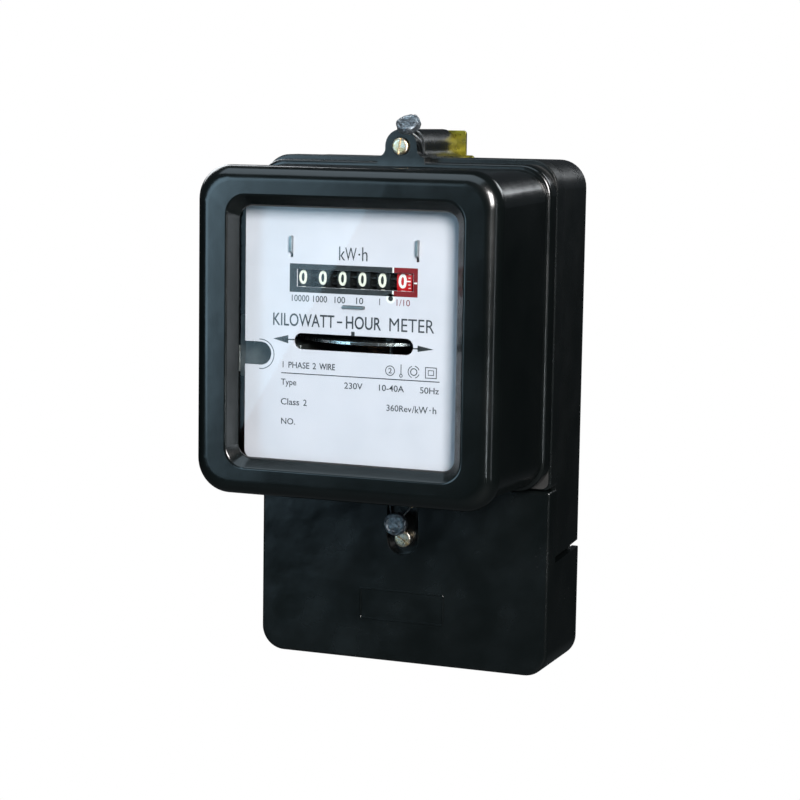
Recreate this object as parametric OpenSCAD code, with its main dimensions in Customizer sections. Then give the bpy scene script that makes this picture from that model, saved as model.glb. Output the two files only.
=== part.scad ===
// Single-phase induction watt-hour meter, wall mounted, in separate pieces.
// Millimetres. X is across the meter, +Z is up and the meter faces -Y.
// The origin lies on the wall plane. Heights in the modules are above the lowest edge
// of the case, and seated() moves them down to the origin's height.

/* [Case] */
// Width of the base and terminal cover
case_w = 133.8; // [133.4:0.1:134.2]
// Height of the case without its top lug
case_h = 220.3; // [220:0.1:221]
// Depth from the wall to the front of the main cover
case_d = 113.5; // [113:0.1:114.5]
// Height of the origin above the lowest edge
origin_h = 120; // [110:1:130]
// Thickness of the moulded walls
wall = 3; // [2.8:0.1:3.2]

/* [Main cover] */
// Width across the front ring
bezel_w = 132; // [131:0.5:132.5]
// Lowest edge of the front ring
bezel_low = 81.4; // [81.2:0.1:82]
// Highest edge of the front ring
bezel_top = 216.8; // [216:0.1:217]
// Width of the window at the front face
window_w = 102; // [100:0.5:103]

/* [Terminal cover] */
// Distance from the wall to the terminal cover's face
terminal_face = 42.7; // [42.5:0.1:43]
// Height of the terminal cover
terminal_h = 80.6; // [80:0.1:80.8]
// Radius of its lower corners
low_corner_r = 10.3; // [8:0.1:12]

/* [Register] */
// Radius of a number drum
drum_r = 11; // [10.8:0.1:11.1]
// Distance from one drum to the next
drum_pitch = 8.74; // [8.7:0.01:8.8]
// Teeth of the worm wheel
worm_wheel_teeth = 60; // [60]
// Teeth of the gear on the red drum
tenths_gear_teeth = 60; // [60]
// Teeth of the drive pinion
pinion_teeth = 10; // [10]
// Teeth of the idler gear
idler_teeth = 36; // [36]
// Tooth module of the drive train
drive_module = 0.3; // [0.3]
// Tooth module of the transfer train
transfer_module = 0.9; // [0.9]

/* [Measuring element] */
// Radius of the disc
disc_r = 39.5; // [39:0.1:40]
// Thickness of the disc
disc_t = 1.2; // [1:0.1:1.3]
// Height of the disc's middle
disc_h = 145.1; // [145:0.1:145.2]

/* [Terminals] */
// Distance between neighbouring line terminals
terminal_pitch = 22; // [21.5:0.1:22.5]
// Radius of the wire hole in a terminal
wire_hole_r = 3.6; // [3.4:0.1:3.8]
// Distance between the two lower fixing holes
fixing_pitch = 104; // [100:1:106]
// Radius of a fixing hole
fixing_r = 2.75; // [2.5:0.05:3]

/* [Hidden] */
$fn = 48;

half_case = case_w / 2;
half_bezel = bezel_w / 2;
half_window = window_w / 2;
case_corner_r = 12;
rim_front = 43;
rim_back = 33.5;
flange_front = 51.5;
flange_back = 43.5;
floor_t = 3.6;
partition_low = 81.2;
lug_h = 224.8;
lug_r = 7.2;
screw_h = 55;
notch_back_h = 53.4;
notch_front_h = 50.9;
skirt_back_h = 50.4;
skirt_front_h = 48.6;
plate_front = 100;
plate_t = 0.8;
glass_back = 105.7;
glass_front = 108.2;
ring_back = 109;
register_front = plate_front - plate_t;
drum_y = -(register_front - 0.7 - drum_r);
drum_h = 171.2;
drum_x0 = 20.6;
spindle_y = -58;
spindle_r = 1.2;
worm_r = 2.4;
worm_depth = 0.35;
worm_clear = 0.15;
lead = PI * drive_module;
lay_h = 183;
lay_y = spindle_y - worm_r - worm_clear - drive_module * worm_wheel_teeth / 2;
mesh_clear = 0.09;
pinion_idler = drive_module * (pinion_teeth + idler_teeth) / 2 + mesh_clear;
lay_to_drum = atan2(drum_h - lay_h, drum_y - lay_y);
idler_y = lay_y + pinion_idler * cos(lay_to_drum);
idler_h = lay_h + pinion_idler * sin(lay_to_drum);
drum_teeth = 20;
transfer_teeth = 8;
transfer_angle = -60;
transfer_axis = transfer_module * (drum_teeth + transfer_teeth) / 2;
transfer_y = drum_y + transfer_axis * cos(transfer_angle);
transfer_h = drum_h + transfer_axis * sin(transfer_angle);
gear_x = 26.2;
gear_w = 1.8;
run_clear = 0.05;
shaft_r = 1.2;
pinion_shaft_r = 0.9;
drum_shaft_r = 1.5;
wire_y = -16;
terminal_low = 20.5;

// Placing ---------------------------------------------------------------------------

// Heights are measured from the lowest edge of the case
module seated() {
    translate([0, 0, -origin_h]) children();
}

// A flat outline of X and height, with thickness from front to back of the wall plane
module slab(front, back) {
    translate([0, -back, 0])
        rotate([90, 0, 0])
            linear_extrude(front - back) children();
}

// A flat outline of Y and height, with thickness along X
module across(x_low, x_high) {
    translate([x_low, 0, 0])
        rotate([90, 0, 90])
            linear_extrude(x_high - x_low) children();
}

// A round bar along -Y from back to front
module rod_y(x, h, r, front, back) {
    translate([x, -back, h]) rotate([90, 0, 0]) cylinder(r = r, h = front - back);
}

// A round bar along X
module rod_x(y, h, r, x_low, x_high) {
    translate([x_low, y, h]) rotate([0, 90, 0]) cylinder(r = r, h = x_high - x_low);
}

// A block between two corners
module block(x, y, h) {
    translate([x[0], y[0], h[0]]) cube([x[1] - x[0], y[1] - y[0], h[1] - h[0]]);
}

// Rectangle centred in X, with its own radius at the low and the top corners
module panel(half_w, low, top, r_low, r_top) {
    translate([-half_w, low + r_low]) square([2 * half_w, top - low - r_low - r_top]);
    translate([-half_w + r_low, low]) square([2 * (half_w - r_low), r_low + 0.01]);
    translate([-half_w + r_top, top - r_top - 0.01]) square([2 * (half_w - r_top), r_top + 0.01]);
    for (side = [-1, 1]) {
        translate([side * (half_w - r_low), low + r_low]) circle(r_low);
        translate([side * (half_w - r_top), top - r_top]) circle(r_top);
    }
}

// A slotted cheese-head screw that points into the case
module slotted_screw(x, h, head_r, head_front, head_back, shank_r, tip, slot_angle = 0) {
    difference() {
        rod_y(x, h, head_r, head_front, head_back);
        translate([x, -head_front, h])
            rotate([0, slot_angle, 0])
                cube([0.9, 2.4, 2 * head_r + 1], center = true);
    }
    rod_y(x, h, shank_r, head_back, tip);
}

// Wire along a chain of points
module wire(points, r) {
    for (i = [0 : len(points) - 2]) {
        step = points[i + 1] - points[i];
        length = norm(step);
        translate(points[i])
            rotate([0, acos(step[2] / length), atan2(step[1], step[0])])
                cylinder(r = r, h = length, $fn = 24);
    }
    for (i = [1 : len(points) - 2]) translate(points[i]) sphere(r * 1.06, $fn = 24);
}

// Gears -----------------------------------------------------------------------------

// Outline of a gear with straight-sided teeth, first tooth at the angle given
module gear_outline(teeth, tooth_module, first) {
    pitch = 360 / teeth;
    root = tooth_module * (teeth / 2 - 1.15);
    tip = tooth_module * (teeth / 2 + 0.9);
    polygon([
        for (i = [0 : teeth - 1])
            for (corner = [[root, -0.27], [tip, -0.12], [tip, 0.12], [root, 0.27]])
                corner[0] * [
                    cos(first + (i + corner[1]) * pitch),
                    sin(first + (i + corner[1]) * pitch)
                ]
    ]);
}

// Angle of the driven gear's first tooth, so that it meshes with the driver
function meshed(direction, first, teeth, driven_teeth) =
    let (
        pitch = 360 / teeth,
        off = first - direction,
        near = off - pitch * round(off / pitch)
    )
    direction + 180 - near * teeth / driven_teeth + 180 / driven_teeth;

// A gear on an axis along X
module gear(teeth, tooth_module, first, y, h, x, width, bore) {
    difference() {
        translate([0, y, h])
            across(x, x + width) gear_outline(teeth, tooth_module, first);
        rod_x(y, h, bore, x - 1, x + width + 1);
    }
}

wheel_first = 180 / worm_wheel_teeth;
pinion_first = lay_to_drum;
idler_first = meshed(lay_to_drum, pinion_first, pinion_teeth, idler_teeth);
tenths_first = meshed(lay_to_drum, idler_first, idler_teeth, tenths_gear_teeth);
drum_first = transfer_angle;
transfer_first = meshed(transfer_angle, drum_first, drum_teeth, transfer_teeth);

// Base ------------------------------------------------------------------------------

// Arch of the top lug and its fillets into the case
module lug_outline() {
    fillet = 3.5;
    foot = case_h - 6;
    translate([0, lug_h]) circle(lug_r);
    translate([-lug_r, foot]) square([2 * lug_r, lug_h - foot]);
    for (side = [-1, 1]) {
        difference() {
            translate([side > 0 ? lug_r - 0.01 : -lug_r - fillet, foot])
                square([fillet + 0.01, case_h + fillet - foot]);
            translate([side * (lug_r + fillet), case_h + fillet]) circle(fillet);
        }
    }
}

// Side view of everything below the slanted joint with the terminal cover
module below_notch() {
    polygon([
        [1, -1], [1, notch_back_h], [0, notch_back_h],
        [-rim_back - 0.1, notch_front_h], [-rim_back - 0.1, -1]
    ]);
}

module base_case() color([0.07, 0.08, 0.08]) seated() {
    inner = half_case - wall - 0.3;
    difference() {
        union() {
            // Side walls and floor of the measuring chamber
            difference() {
                slab(rim_back, 0) panel(half_case - 0.3, 46, case_h - 0.5, 1, case_corner_r);
                slab(rim_back + 1, floor_t)
                    panel(inner, 30, case_h - 0.5 - wall, 1, case_corner_r - wall);
                across(-half_case - 1, half_case + 1) below_notch();
            }
            // Tongue that carries the terminals
            slab(floor_t, 0) panel(half_case - 3.6, 3.4, 60, 8, 1);
            // Front rim that the main cover seats on
            difference() {
                slab(rim_front, rim_back - 0.01)
                    panel(half_case + 0.2, partition_low, case_h, 3, case_corner_r);
                slab(rim_front + 1, rim_back - 1)
                    panel(half_case - 5, partition_low + 4, case_h - 5, 3, case_corner_r - 5);
            }
            // Partition above the terminals
            block([-inner - 0.1, inner + 0.1], [-rim_front + 0.5, -floor_t + 0.1],
                [partition_low, partition_low + 3.2]);
            // Pillar of the terminal cover's screw, frame posts and pads of the fixing holes
            rod_y(0, screw_h, 5, 35.7, 1);
            for (x = [-38, 38], h = [106, 198]) rod_y(x, h, 5, 8, 1);
            for (x = [-1, 1]) rod_y(x * fixing_pitch / 2, 14, 6, 7, 1);
        }
        // Notch that the hanger's boss fills
        block([-14.9, 14.9], [-7.8, 1], [198, case_h + 1]);
        block([-9, 9], [-12, -7], [199, case_h - 2]);
        slab(rim_front + 1, 7) lug_outline();
        // Holes of the fixing screws, inserts and frame screws
        for (x = [-1, 1]) rod_y(x * fixing_pitch / 2, 14, fixing_r, 8, -1);
        rod_y(0, screw_h, 3, 37, 24);
        for (x = [-38, 38], h = [106, 198]) rod_y(x, h, 1.7, 9, 1.5);
        for (x = [-22, 22]) rod_y(x, 40, 1.7, 5, 1.2);
        // Ways for the leads through the partition
        for (x = [-33, -11, 42]) block([x - 4, x + 4], [-33, -11], [partition_low - 1, partition_low + 4]);
    }
}

// Boss behind the lug, with the space for the head of the wall screw
module hanger_boss() color([0.07, 0.08, 0.08]) seated() {
    difference() {
        union() {
            slab(rim_front, 2) lug_outline();
            block([-9, 9], [-12, -2], [199, case_h - 2]);
            block([-14.9, 14.9], [-7.8, -2], [198, case_h - 0.5]);
        }
        slab(9, 1) panel(5.6, 203, 226.5, 5.59, 5.59);
        for (x = [-11, 11]) rod_y(x, 202.5, 1.6, 7, 1);
        rod_y(0, lug_h, 3, rim_front + 1, 33);
    }
}

module hanger_plate() color([0.72, 0.66, 0.25]) seated() {
    difference() {
        union() {
            slab(2, 0) panel(11, 215, 231.5, 1, 1.5);
            slab(2, 0) panel(14.8, 198.1, case_h + 0.4, 1.8, 1.5);
        }
        rod_y(0, 209, 5, 3, -1);
        slab(3, -1) panel(2.6, 209, 223.8, 0.5, 2.59);
        for (x = [-11, 11]) rod_y(x, 202.5, 1.6, 3, -1);
    }
}

module hanger_rivets() color([0.6, 0.58, 0.5]) seated() {
    for (x = [-11, 11]) rod_y(x, 202.5, 1.6, 7, 0);
}

module cover_gasket() color([0.12, 0.12, 0.12]) seated() {
    difference() {
        slab(rim_front + 0.35, rim_front)
            panel(half_case - 1, partition_low + 0.6, case_h - 2, 3, case_corner_r - 1.5);
        slab(rim_front + 1, rim_front - 1)
            panel(half_case - 4, partition_low + 3, case_h - 4.5, 3, case_corner_r - 4);
    }
}

module screw_inserts() color([0.8, 0.64, 0.3]) seated() {
    difference() {
        union() {
            rod_y(0, lug_h, 3, rim_front, 33);
            rod_y(0, screw_h, 3, 35.7, 24);
        }
        rod_y(0, lug_h, 2.1, rim_front + 1, 34);
        rod_y(0, screw_h, 2.1, 37, 25);
    }
}

// Terminals -------------------------------------------------------------------------

module each_terminal() {
    for (i = [-1.5 : 1 : 1.5]) translate([i * terminal_pitch, 0, 0]) children();
}

module terminal_block() color([0.09, 0.09, 0.09]) seated() {
    difference() {
        block([-48, 48], [-30, -floor_t], [20, 48]);
        each_terminal() {
            block([-5.6, 5.6], [-24, -8.5], [19, 42]);
            for (h = [26, 35]) rod_y(0, h, 3.8, 31, 23);
        }
        for (x = [-22, 22]) {
            rod_y(x, 40, 1.9, 31, 3);
            rod_y(x, 40, 3.6, 31, 26);
        }
        // Slots above the two current terminals for their leads
        for (x = [-33, -11]) block([x - 2.6, x + 2.6], [-20, -15], [41, 49]);
        block([30.5, 35.5], [-20, -15], [41, 49]);
    }
    // Rib between the two pairs
    block([-0.8, 0.8], [-34, -29.9], [20.5, 44]);
}

module line_terminals() color([0.82, 0.66, 0.32]) seated() {
    each_terminal() difference() {
        block([-5.5, 5.5], [-23.9, -8.6], [terminal_low, 41.9]);
        translate([0, wire_y, terminal_low - 1]) cylinder(r = wire_hole_r, h = 19);
        for (h = [26, 35]) rod_y(0, h, 2, 25, 16);
    }
}

module terminal_screws() color([0.75, 0.75, 0.73]) seated() {
    each_terminal() for (h = [26, 35]) slotted_screw(0, h, 3.3, 29, 26, 1.9, 19.8, 20 * h);
}

module block_screws() color([0.75, 0.75, 0.73]) seated() {
    for (x = [-22, 22]) slotted_screw(x, 40, 3.3, 28.6, 26, 1.6, 1.6, 35);
}

module voltage_link() color([0.82, 0.66, 0.32]) seated() {
    difference() {
        slab(30.8, 30) translate([-27.5, 0]) panel(8, 42.4, 46.6, 2, 2);
        for (x = [-33, -22.5]) rod_y(x, 44.5, 1.3, 32, 29);
    }
}

module link_screws() color([0.75, 0.75, 0.73]) seated() {
    for (x = [-33, -22.5]) slotted_screw(x, 44.5, 2, 32.2, 30.8, 1.2, 30, 60);
}

// Measuring element -----------------------------------------------------------------

module main_frame() color([0.62, 0.64, 0.66]) seated() {
    difference() {
        union() {
            // Back plate with a window behind each core
            difference() {
                slab(12, 8) panel(46, 98, 206, 6, 6);
                block([-10, 10], [-13, -7], [198.2, 207]);
                slab(13, 7) panel(20, 150, 182, 4, 4);
                slab(13, 7) panel(18, 118, 140, 4, 4);
            }
            // Bearing arms, register arms, brake magnet arm and core feet
            block([-7, 7], [spindle_y - 7, -10], [103, 108]);
            block([-7, 7], [spindle_y - 6, -10], [193.8, 198.2]);
            for (x = [[-41, -34], [34, 41]]) block(x, [-62.9, -10], [180, 188]);
            block([-55, -43], [-64, -10], [129, 139]);
            block([-46, -40], [-12, -8], [129, 139]);
            for (x = [[-26, -20], [20, 26]]) {
                block(x, [-20, -11], [184, 190]);
                block(x, [-20, -11], [110, 116]);
            }
        }
        translate([0, spindle_y, 102]) cylinder(r = 4, h = 8);
        translate([0, spindle_y, 193]) cylinder(r = 3, h = 7);
        for (x = [-38, 38], h = [106, 198]) rod_y(x, h, 2.1, 13, 7);
    }
}

module frame_screws() color([0.75, 0.75, 0.73]) seated() {
    for (x = [-38, 38], h = [106, 198]) slotted_screw(x, h, 3.4, 14.6, 12, 1.6, 2, h);
}

module voltage_core() color([0.42, 0.42, 0.44]) seated() {
    slab(36, 20) difference() {
        translate([-26, 147.4]) square([52, 42.6]);
        for (x = [-18, 7]) translate([x, 154]) square([11, 28]);
        for (x = [-10, 8]) translate([x, 147]) square([2, 8]);
    }
}

module voltage_bobbin() color([0.86, 0.84, 0.76]) seated() {
    difference() {
        union() {
            for (h = [154.3, 180.5]) block([-17.6, 17.6], [-43, -13], [h, h + 1.2]);
            block([-8.2, 8.2], [-37.2, -18.8], [154.3, 181.7]);
        }
        block([-7.02, 7.02], [-36.02, -19.98], [150, 185]);
    }
}

// A winding with round corners about a vertical limb
module winding(x, half_w, y, half_d, r, low, top) {
    translate([x, y, low]) linear_extrude(top - low) {
        square([2 * half_w, 2 * (half_d - r)], center = true);
        square([2 * (half_w - r), 2 * half_d], center = true);
        for (i = [-1, 1], j = [-1, 1])
            translate([i * (half_w - r), j * (half_d - r)]) circle(r);
    }
}

module voltage_coil() color([0.55, 0.18, 0.1]) seated() {
    difference() {
        winding(0, 16.6, -28, 14, 6, 155.6, 180.4);
        block([-8.3, 8.3], [-37.3, -18.7], [155, 181]);
    }
}

module current_core() color([0.42, 0.42, 0.44]) seated() {
    slab(36, 20) difference() {
        translate([-25, 110]) square([50, 33.6]);
        translate([-11, 120]) square([22, 24]);
    }
}

module current_coils() color([0.72, 0.4, 0.2]) seated() {
    for (x = [-18, 18]) difference() {
        union() for (turn = [0 : 3]) winding(x, 11, -28, 12, 4, 122 + turn * 4.8, 126.4 + turn * 4.8);
        block([x - 7.02, x + 7.02], [-36.02, -19.98], [121, 142]);
    }
    for (x = [-18, 18]) difference() {
        winding(x, 8.6, -28, 9.6, 3, 122.1, 140.7);
        block([x - 7.02, x + 7.02], [-36.02, -19.98], [121, 142]);
    }
    block([-7.1, 7.1], [-30, -26], [123, 126]);
}

module current_leads() color([0.72, 0.4, 0.2]) seated() {
    // Left coil to the first terminal
    block([-35, -29], [-20, -16.5], [123, 126]);
    block([-35, -31], [-20, -16.5], [41.9, 126]);
    // Right coil, under the core, to the second terminal
    block([29, 33], [-20, -16.5], [123, 126]);
    block([30, 33], [-20, -16.5], [92, 126]);
    block([-13, 33], [-20, -16.5], [92, 95]);
    block([-13, -9], [-20, -16.5], [41.9, 95]);
}

module voltage_leads() color([0.75, 0.1, 0.08]) seated() {
    wire([[16.3, -18, 160], [29, -15, 160], [43, -15, 150], [43, -15, 60], [33, -17.5, 48], [33, -17.5, 42]], 0.8);
}

module lower_bearing() color([0.85, 0.85, 0.82]) seated() {
    difference() {
        translate([0, spindle_y, 101]) cylinder(r = 4, h = 11);
        translate([0, spindle_y, 107.6]) cylinder(r = spindle_r + run_clear, h = 5);
    }
}

module upper_bearing() color([0.85, 0.85, 0.82]) seated() {
    difference() {
        translate([0, spindle_y, 190]) cylinder(r = 3, h = 10);
        translate([0, spindle_y, 189]) cylinder(r = spindle_r + run_clear, h = 5.2);
    }
}

module brake_magnet() color([0.45, 0.46, 0.48]) seated() {
    slab(90, 66) difference() {
        translate([-56, 128]) square([28, 26]);
        translate([-49, disc_h - 2.6]) square([22, 5.2]);
    }
}

module magnet_bracket() color([0.75, 0.72, 0.5]) seated() {
    difference() {
        block([-57, -41], [-66, -64], [127.5, 141]);
        for (x = [-52.5, -45.5]) rod_y(x, 134, 1.6, 67, 63);
    }
    for (x = [-52.5, -45.5]) rod_y(x, 134, 1.6, 66, 64);
    block([-57, -56], [-90, -64], [130, 141]);
}

module light_load_lever() color([0.75, 0.75, 0.73]) seated() {
    block([-24, 24], [-40.5, -37.4], [147.6, 148.8]);
    block([20, 24], [-40.5, -36], [147.6, 160]);
    rod_y(22, 157, 2.4, 43, 40.4);
}

module phase_loop() color([0.72, 0.4, 0.2]) seated() {
    wire([
        [-8.5, -36.9, 116], [-8.5, -47, 116], [-8.5, -47, 96], [8.5, -47, 96], [8.5, -47, 116],
        [8.5, -36.9, 116]
    ], 0.9);
    difference() {
        block([-11, 11], [-49, -45], [98.6, 101.6]);
        for (x = [-8.5, 8.5]) translate([x, -47, 96]) cylinder(r = 0.9, h = 12, $fn = 24);
    }
}

// Register --------------------------------------------------------------------------

module register_frame() color([0.72, 0.73, 0.74]) seated() {
    back = register_front - 1;
    difference() {
        union() {
            for (x = [-32, 31]) across(x, x + 1) polygon([
                [-back, 154.8], [-74, 154.8], [-63, 172], [-63, 192], [-back, 192]
            ]);
            // Top and bottom straps with their front lips
            block([-32, 32], [-back, -84], [190.8, 192]);
            block([-32, 32], [-register_front, -back], [184, 192]);
            block([-32, 32], [-back, -88], [154.8, 156]);
            block([-20, 20], [-register_front, -back], [154.8, 162.4]);
            // Twisted tabs that hold the nameplate
            for (x = [-28.2, 27]) block([x - 0.5, x + 0.5], [-101.6, -back], [179.6, 188.2]);
            block([-5.3, 4.1], [-101, -back], [159.6, 160.6]);
            // Ears for the screws
            for (x = [[-41, -31], [31, 41]]) block(x, [-64, -63], [179, 189]);
        }
        rod_x(drum_y, drum_h, drum_shaft_r, -33, 33);
        rod_x(transfer_y, transfer_h, 1, -33, 33);
        rod_x(lay_y, lay_h, shaft_r + run_clear, -33, -30);
        rod_x(lay_y, lay_h, pinion_shaft_r + run_clear, 30, 33);
        for (x = [-37.5, 37.5]) rod_y(x, 184, 1.6, 65, 62);
    }
    // Stud of the idler gear
    rod_x(idler_y, idler_h, 1, gear_x - 0.8, 31);
}

module register_screws() color([0.75, 0.75, 0.73]) seated() {
    for (x = [-37.5, 37.5]) slotted_screw(x, 184, 2.8, 66, 64, 1.6, 62.9, x);
}

module drum_shaft() color([0.8, 0.8, 0.8]) seated() {
    rod_x(drum_y, drum_h, drum_shaft_r, -33, 33);
}

module pinion_shaft() color([0.8, 0.8, 0.8]) seated() {
    rod_x(transfer_y, transfer_h, 1, -33, 33);
}

module nameplate() color([0.9, 0.92, 0.93]) seated() {
    slab(plate_front, register_front) difference() {
        panel(49, 95, 202.5, 4, 4);
        translate([-25.7, 167.6]) square([51, 7.2]);
        // Slot in front of the disc's edge
        translate([-23.4, 141.8]) square([45.7, 6.7]);
        for (x = [-23.4, 22.3]) translate([x, disc_h + 0.05]) circle(3.35);
        // Notch in front of the brake magnet
        translate([-41.9, 139.3]) circle(4.8);
        translate([-50, 134.5]) square([8.1, 9.6]);
        for (x = [-28.2, 27]) translate([x - 0.6, 179.5]) square([1.2, 8.8]);
        translate([-5.5, 159.4]) square([9.8, 1.4]);
    }
}

// Moving parts of the train ---------------------------------------------------------

module disc() color([0.84, 0.85, 0.86]) seated() {
    difference() {
        union() {
            translate([0, spindle_y, disc_h - disc_t / 2]) cylinder(r = disc_r, h = disc_t);
            translate([0, spindle_y, disc_h - 4]) cylinder(r = 4, h = 8);
        }
        translate([0, spindle_y, 100]) cylinder(r = spindle_r, h = 100);
        for (side = [-1, 1]) translate([side * 14, spindle_y, 100]) cylinder(r = 1, h = 100);
    }
}

module spindle() color([0.78, 0.78, 0.78]) seated() {
    translate([0, spindle_y, 107.8]) cylinder(r = spindle_r, h = 85.9);
}

module worm() color([0.8, 0.65, 0.3]) seated() {
    turns = 5;
    low = lay_h - (turns / 2) * lead;
    difference() {
        // A thread crest faces the wheel's gap at the wheel's own height
        translate([0, spindle_y, low])
            rotate([0, 0, -90 - turns * 180])
                linear_extrude(turns * lead, twist = -360 * turns, slices = turns * 12, $fn = 14)
                    translate([worm_depth, 0]) circle(worm_r, $fn = 14);
        translate([0, spindle_y, low - 1]) cylinder(r = spindle_r, h = turns * lead + 2);
    }
}

module worm_wheel() color([0.88, 0.86, 0.8]) seated() {
    gear(worm_wheel_teeth, drive_module, wheel_first, lay_y, lay_h, -1, 2, shaft_r);
    difference() {
        rod_x(lay_y, lay_h, 3, -3, 3);
        rod_x(lay_y, lay_h, shaft_r, -4, 4);
        across(-1, 1) translate([lay_y, lay_h]) circle(3.5);
    }
}

module lay_shaft() color([0.8, 0.8, 0.8]) seated() {
    rod_x(lay_y, lay_h, shaft_r, -32.6, gear_x - 0.4);
    rod_x(lay_y, lay_h, pinion_shaft_r, gear_x - 0.4, 32.6);
}

module drive_pinion() color([0.8, 0.65, 0.3]) seated() {
    gear(pinion_teeth, drive_module, pinion_first, lay_y, lay_h, gear_x - 0.3, gear_w + 0.6,
        pinion_shaft_r);
}

module idler_gear() color([0.88, 0.86, 0.8]) seated() {
    gear(idler_teeth, drive_module, idler_first, idler_y, idler_h, gear_x, gear_w, 1 + run_clear);
}

module tenths_gear() color([0.88, 0.86, 0.8]) seated() {
    gear(tenths_gear_teeth, drive_module, tenths_first, drum_y, drum_h, gear_x, gear_w,
        drum_shaft_r + run_clear);
}

// A hollow number drum; the transfer gear is on its right
module drum(place, shade, band, gear_teeth) {
    x = drum_x0 - place * drum_pitch;
    color(shade) seated() {
        difference() {
            union() {
                rod_x(drum_y, drum_h, drum_r, x - 3, x + band);
                if (gear_teeth > 0) translate([0, drum_y, drum_h])
                    across(x + band, x + band + 2.2)
                        gear_outline(gear_teeth, transfer_module, drum_first);
            }
            rod_x(drum_y, drum_h, drum_shaft_r + run_clear, x - 4, x + 8);
            difference() {
                rod_x(drum_y, drum_h, drum_r - 1.6, x - 4, x + 1.2);
                rod_x(drum_y, drum_h, 3.4, x - 5, x + 2);
            }
        }
    }
}

module tenths_drum() drum(0, [0.75, 0.05, 0.06], 3.6, 0);
module units_drum() drum(1, [0.06, 0.06, 0.06], 2.8, drum_teeth);
module tens_drum() drum(2, [0.06, 0.06, 0.06], 2.8, drum_teeth);
module hundreds_drum() drum(3, [0.06, 0.06, 0.06], 2.8, drum_teeth);
module thousands_drum() drum(4, [0.06, 0.06, 0.06], 2.8, drum_teeth);
module ten_thousands_drum() drum(5, [0.06, 0.06, 0.06], 2.8, drum_teeth);

module transfer_pinion(place) {
    x = drum_x0 - place * drum_pitch + 2.95;
    color([0.85, 0.85, 0.8]) seated()
        gear(transfer_teeth, transfer_module, transfer_first, transfer_y, transfer_h, x, 1.9,
            1 + run_clear);
}

module transfer_pinion_1() transfer_pinion(1);
module transfer_pinion_2() transfer_pinion(2);
module transfer_pinion_3() transfer_pinion(3);
module transfer_pinion_4() transfer_pinion(4);
module transfer_pinion_5() transfer_pinion(5);

// Main cover ------------------------------------------------------------------------

// Thin rounded rectangle that stands at a distance from the wall
module ring_slice(front, half_w, low, top, r) {
    slab(front, front - 0.1) panel(half_w, low, top, r, r, $fn = 32);
}

module main_cover() color([0.07, 0.08, 0.08]) seated() {
    face = case_d;
    round_w = 6.5;
    round_d = 6;
    difference() {
        union() {
            // Front ring with a round outer edge
            hull() {
                ring_slice(face - round_d, half_bezel, bezel_low, bezel_top, 14);
                for (angle = [0 : 15 : 90]) {
                    inset = round_w * (1 - cos(angle));
                    ring_slice(face - round_d * (1 - sin(angle)), half_bezel - inset,
                        bezel_low + inset, bezel_top - inset, 14 - inset * 0.6);
                }
            }
            // Cove from the ring to the body
            hull() {
                ring_slice(face - round_d, half_bezel, bezel_low, bezel_top, 14);
                ring_slice(face - round_d - 3.4, half_bezel - 2, bezel_low + 2, bezel_top - 2, 13);
            }
            // Body with its draft
            hull() {
                ring_slice(face - round_d - 3, half_bezel - 2, bezel_low + 2, bezel_top - 2, 13);
                ring_slice(flange_front - 1, half_bezel - 0.5, bezel_low + 1, bezel_top - 0.6, 13);
            }
            // Flange that seats on the base
            hull() {
                ring_slice(flange_front, half_case - 1, bezel_low + 0.4, case_h - 3, 13);
                ring_slice(flange_front - 1, half_case, bezel_low - 0.2, case_h - 2, 13);
                ring_slice(flange_back + 0.6, half_case, bezel_low - 0.2, case_h - 2, 13);
                ring_slice(flange_back + 0.1, half_case - 0.5, bezel_low, case_h - 2.6, 13);
            }
            slab(flange_front, flange_back) lug_outline();
            // Pads of the glass clips
            for (side = [-1, 1], h = [112, 186])
                block([side * 58.4 - 3.8, side * 58.4 + 3.8], [-ring_back - 0.5, -glass_back], [h - 5, h + 5]);
        }
        // Hollow
        difference() {
            slab(ring_back, flange_back - 1)
                panel(half_bezel - 4.6, bezel_low + 4.6, bezel_top - 4.6, 10, 10);
            for (side = [-1, 1], h = [112, 186])
                block([side * 58.4 - 3.8, side * 58.4 + 3.8], [-ring_back - 0.5, -glass_back], [h - 5, h + 5]);
        }
        // Window with its sloping reveal
        hull() {
            ring_slice(face + 0.1, half_window, 93.5, 204.4, 8.5);
            ring_slice(ring_back + 0.1, half_window - 3.5, 96.5, 200.9, 6);
        }
        slab(ring_back + 0.1, ring_back - 1) panel(half_window - 3.5, 96.5, 200.9, 6, 6);
        // Hole and seat of the cover screw
        rod_y(0, lug_h, 2.3, flange_front + 1, flange_back - 1);
        rod_y(0, lug_h, 4, flange_front + 1, flange_front - 1.2);
        for (side = [-1, 1], h = [112, 186]) rod_y(side * 58.4, h, 1, ring_back - 0.4, glass_back - 1);
    }
}

module window_gasket() color([0.1, 0.1, 0.1]) seated() {
    slab(ring_back, glass_front) difference() {
        panel(half_window + 3, 90, 207.6, 6, 6);
        panel(half_window - 2.9, 97.1, 200.3, 6, 6);
    }
}

module window_glass() color([0.8, 0.9, 0.88, 0.3]) seated() {
    slab(glass_front, glass_back) panel(half_window + 3, 90, 207.6, 6, 6);
}

module glass_clips() color([0.75, 0.75, 0.73]) seated() {
    for (side = [-1, 1], h = [112, 186]) {
        block([side * 55.6 - 5.4, side * 55.6 + 5.4], [-glass_back, -glass_back + 0.8], [h - 4, h + 4]);
        rod_y(side * 58.4, h, 2, glass_back - 0.8, glass_back - 2);
        rod_y(side * 58.4, h, 0.9, ring_back - 0.6, glass_back - 1);
    }
}

module cover_screw() color([0.8, 0.76, 0.62]) seated() {
    slotted_screw(0, lug_h, 3.5, 53.3, flange_front - 1.2, 1.9, 36, 10);
}

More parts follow.
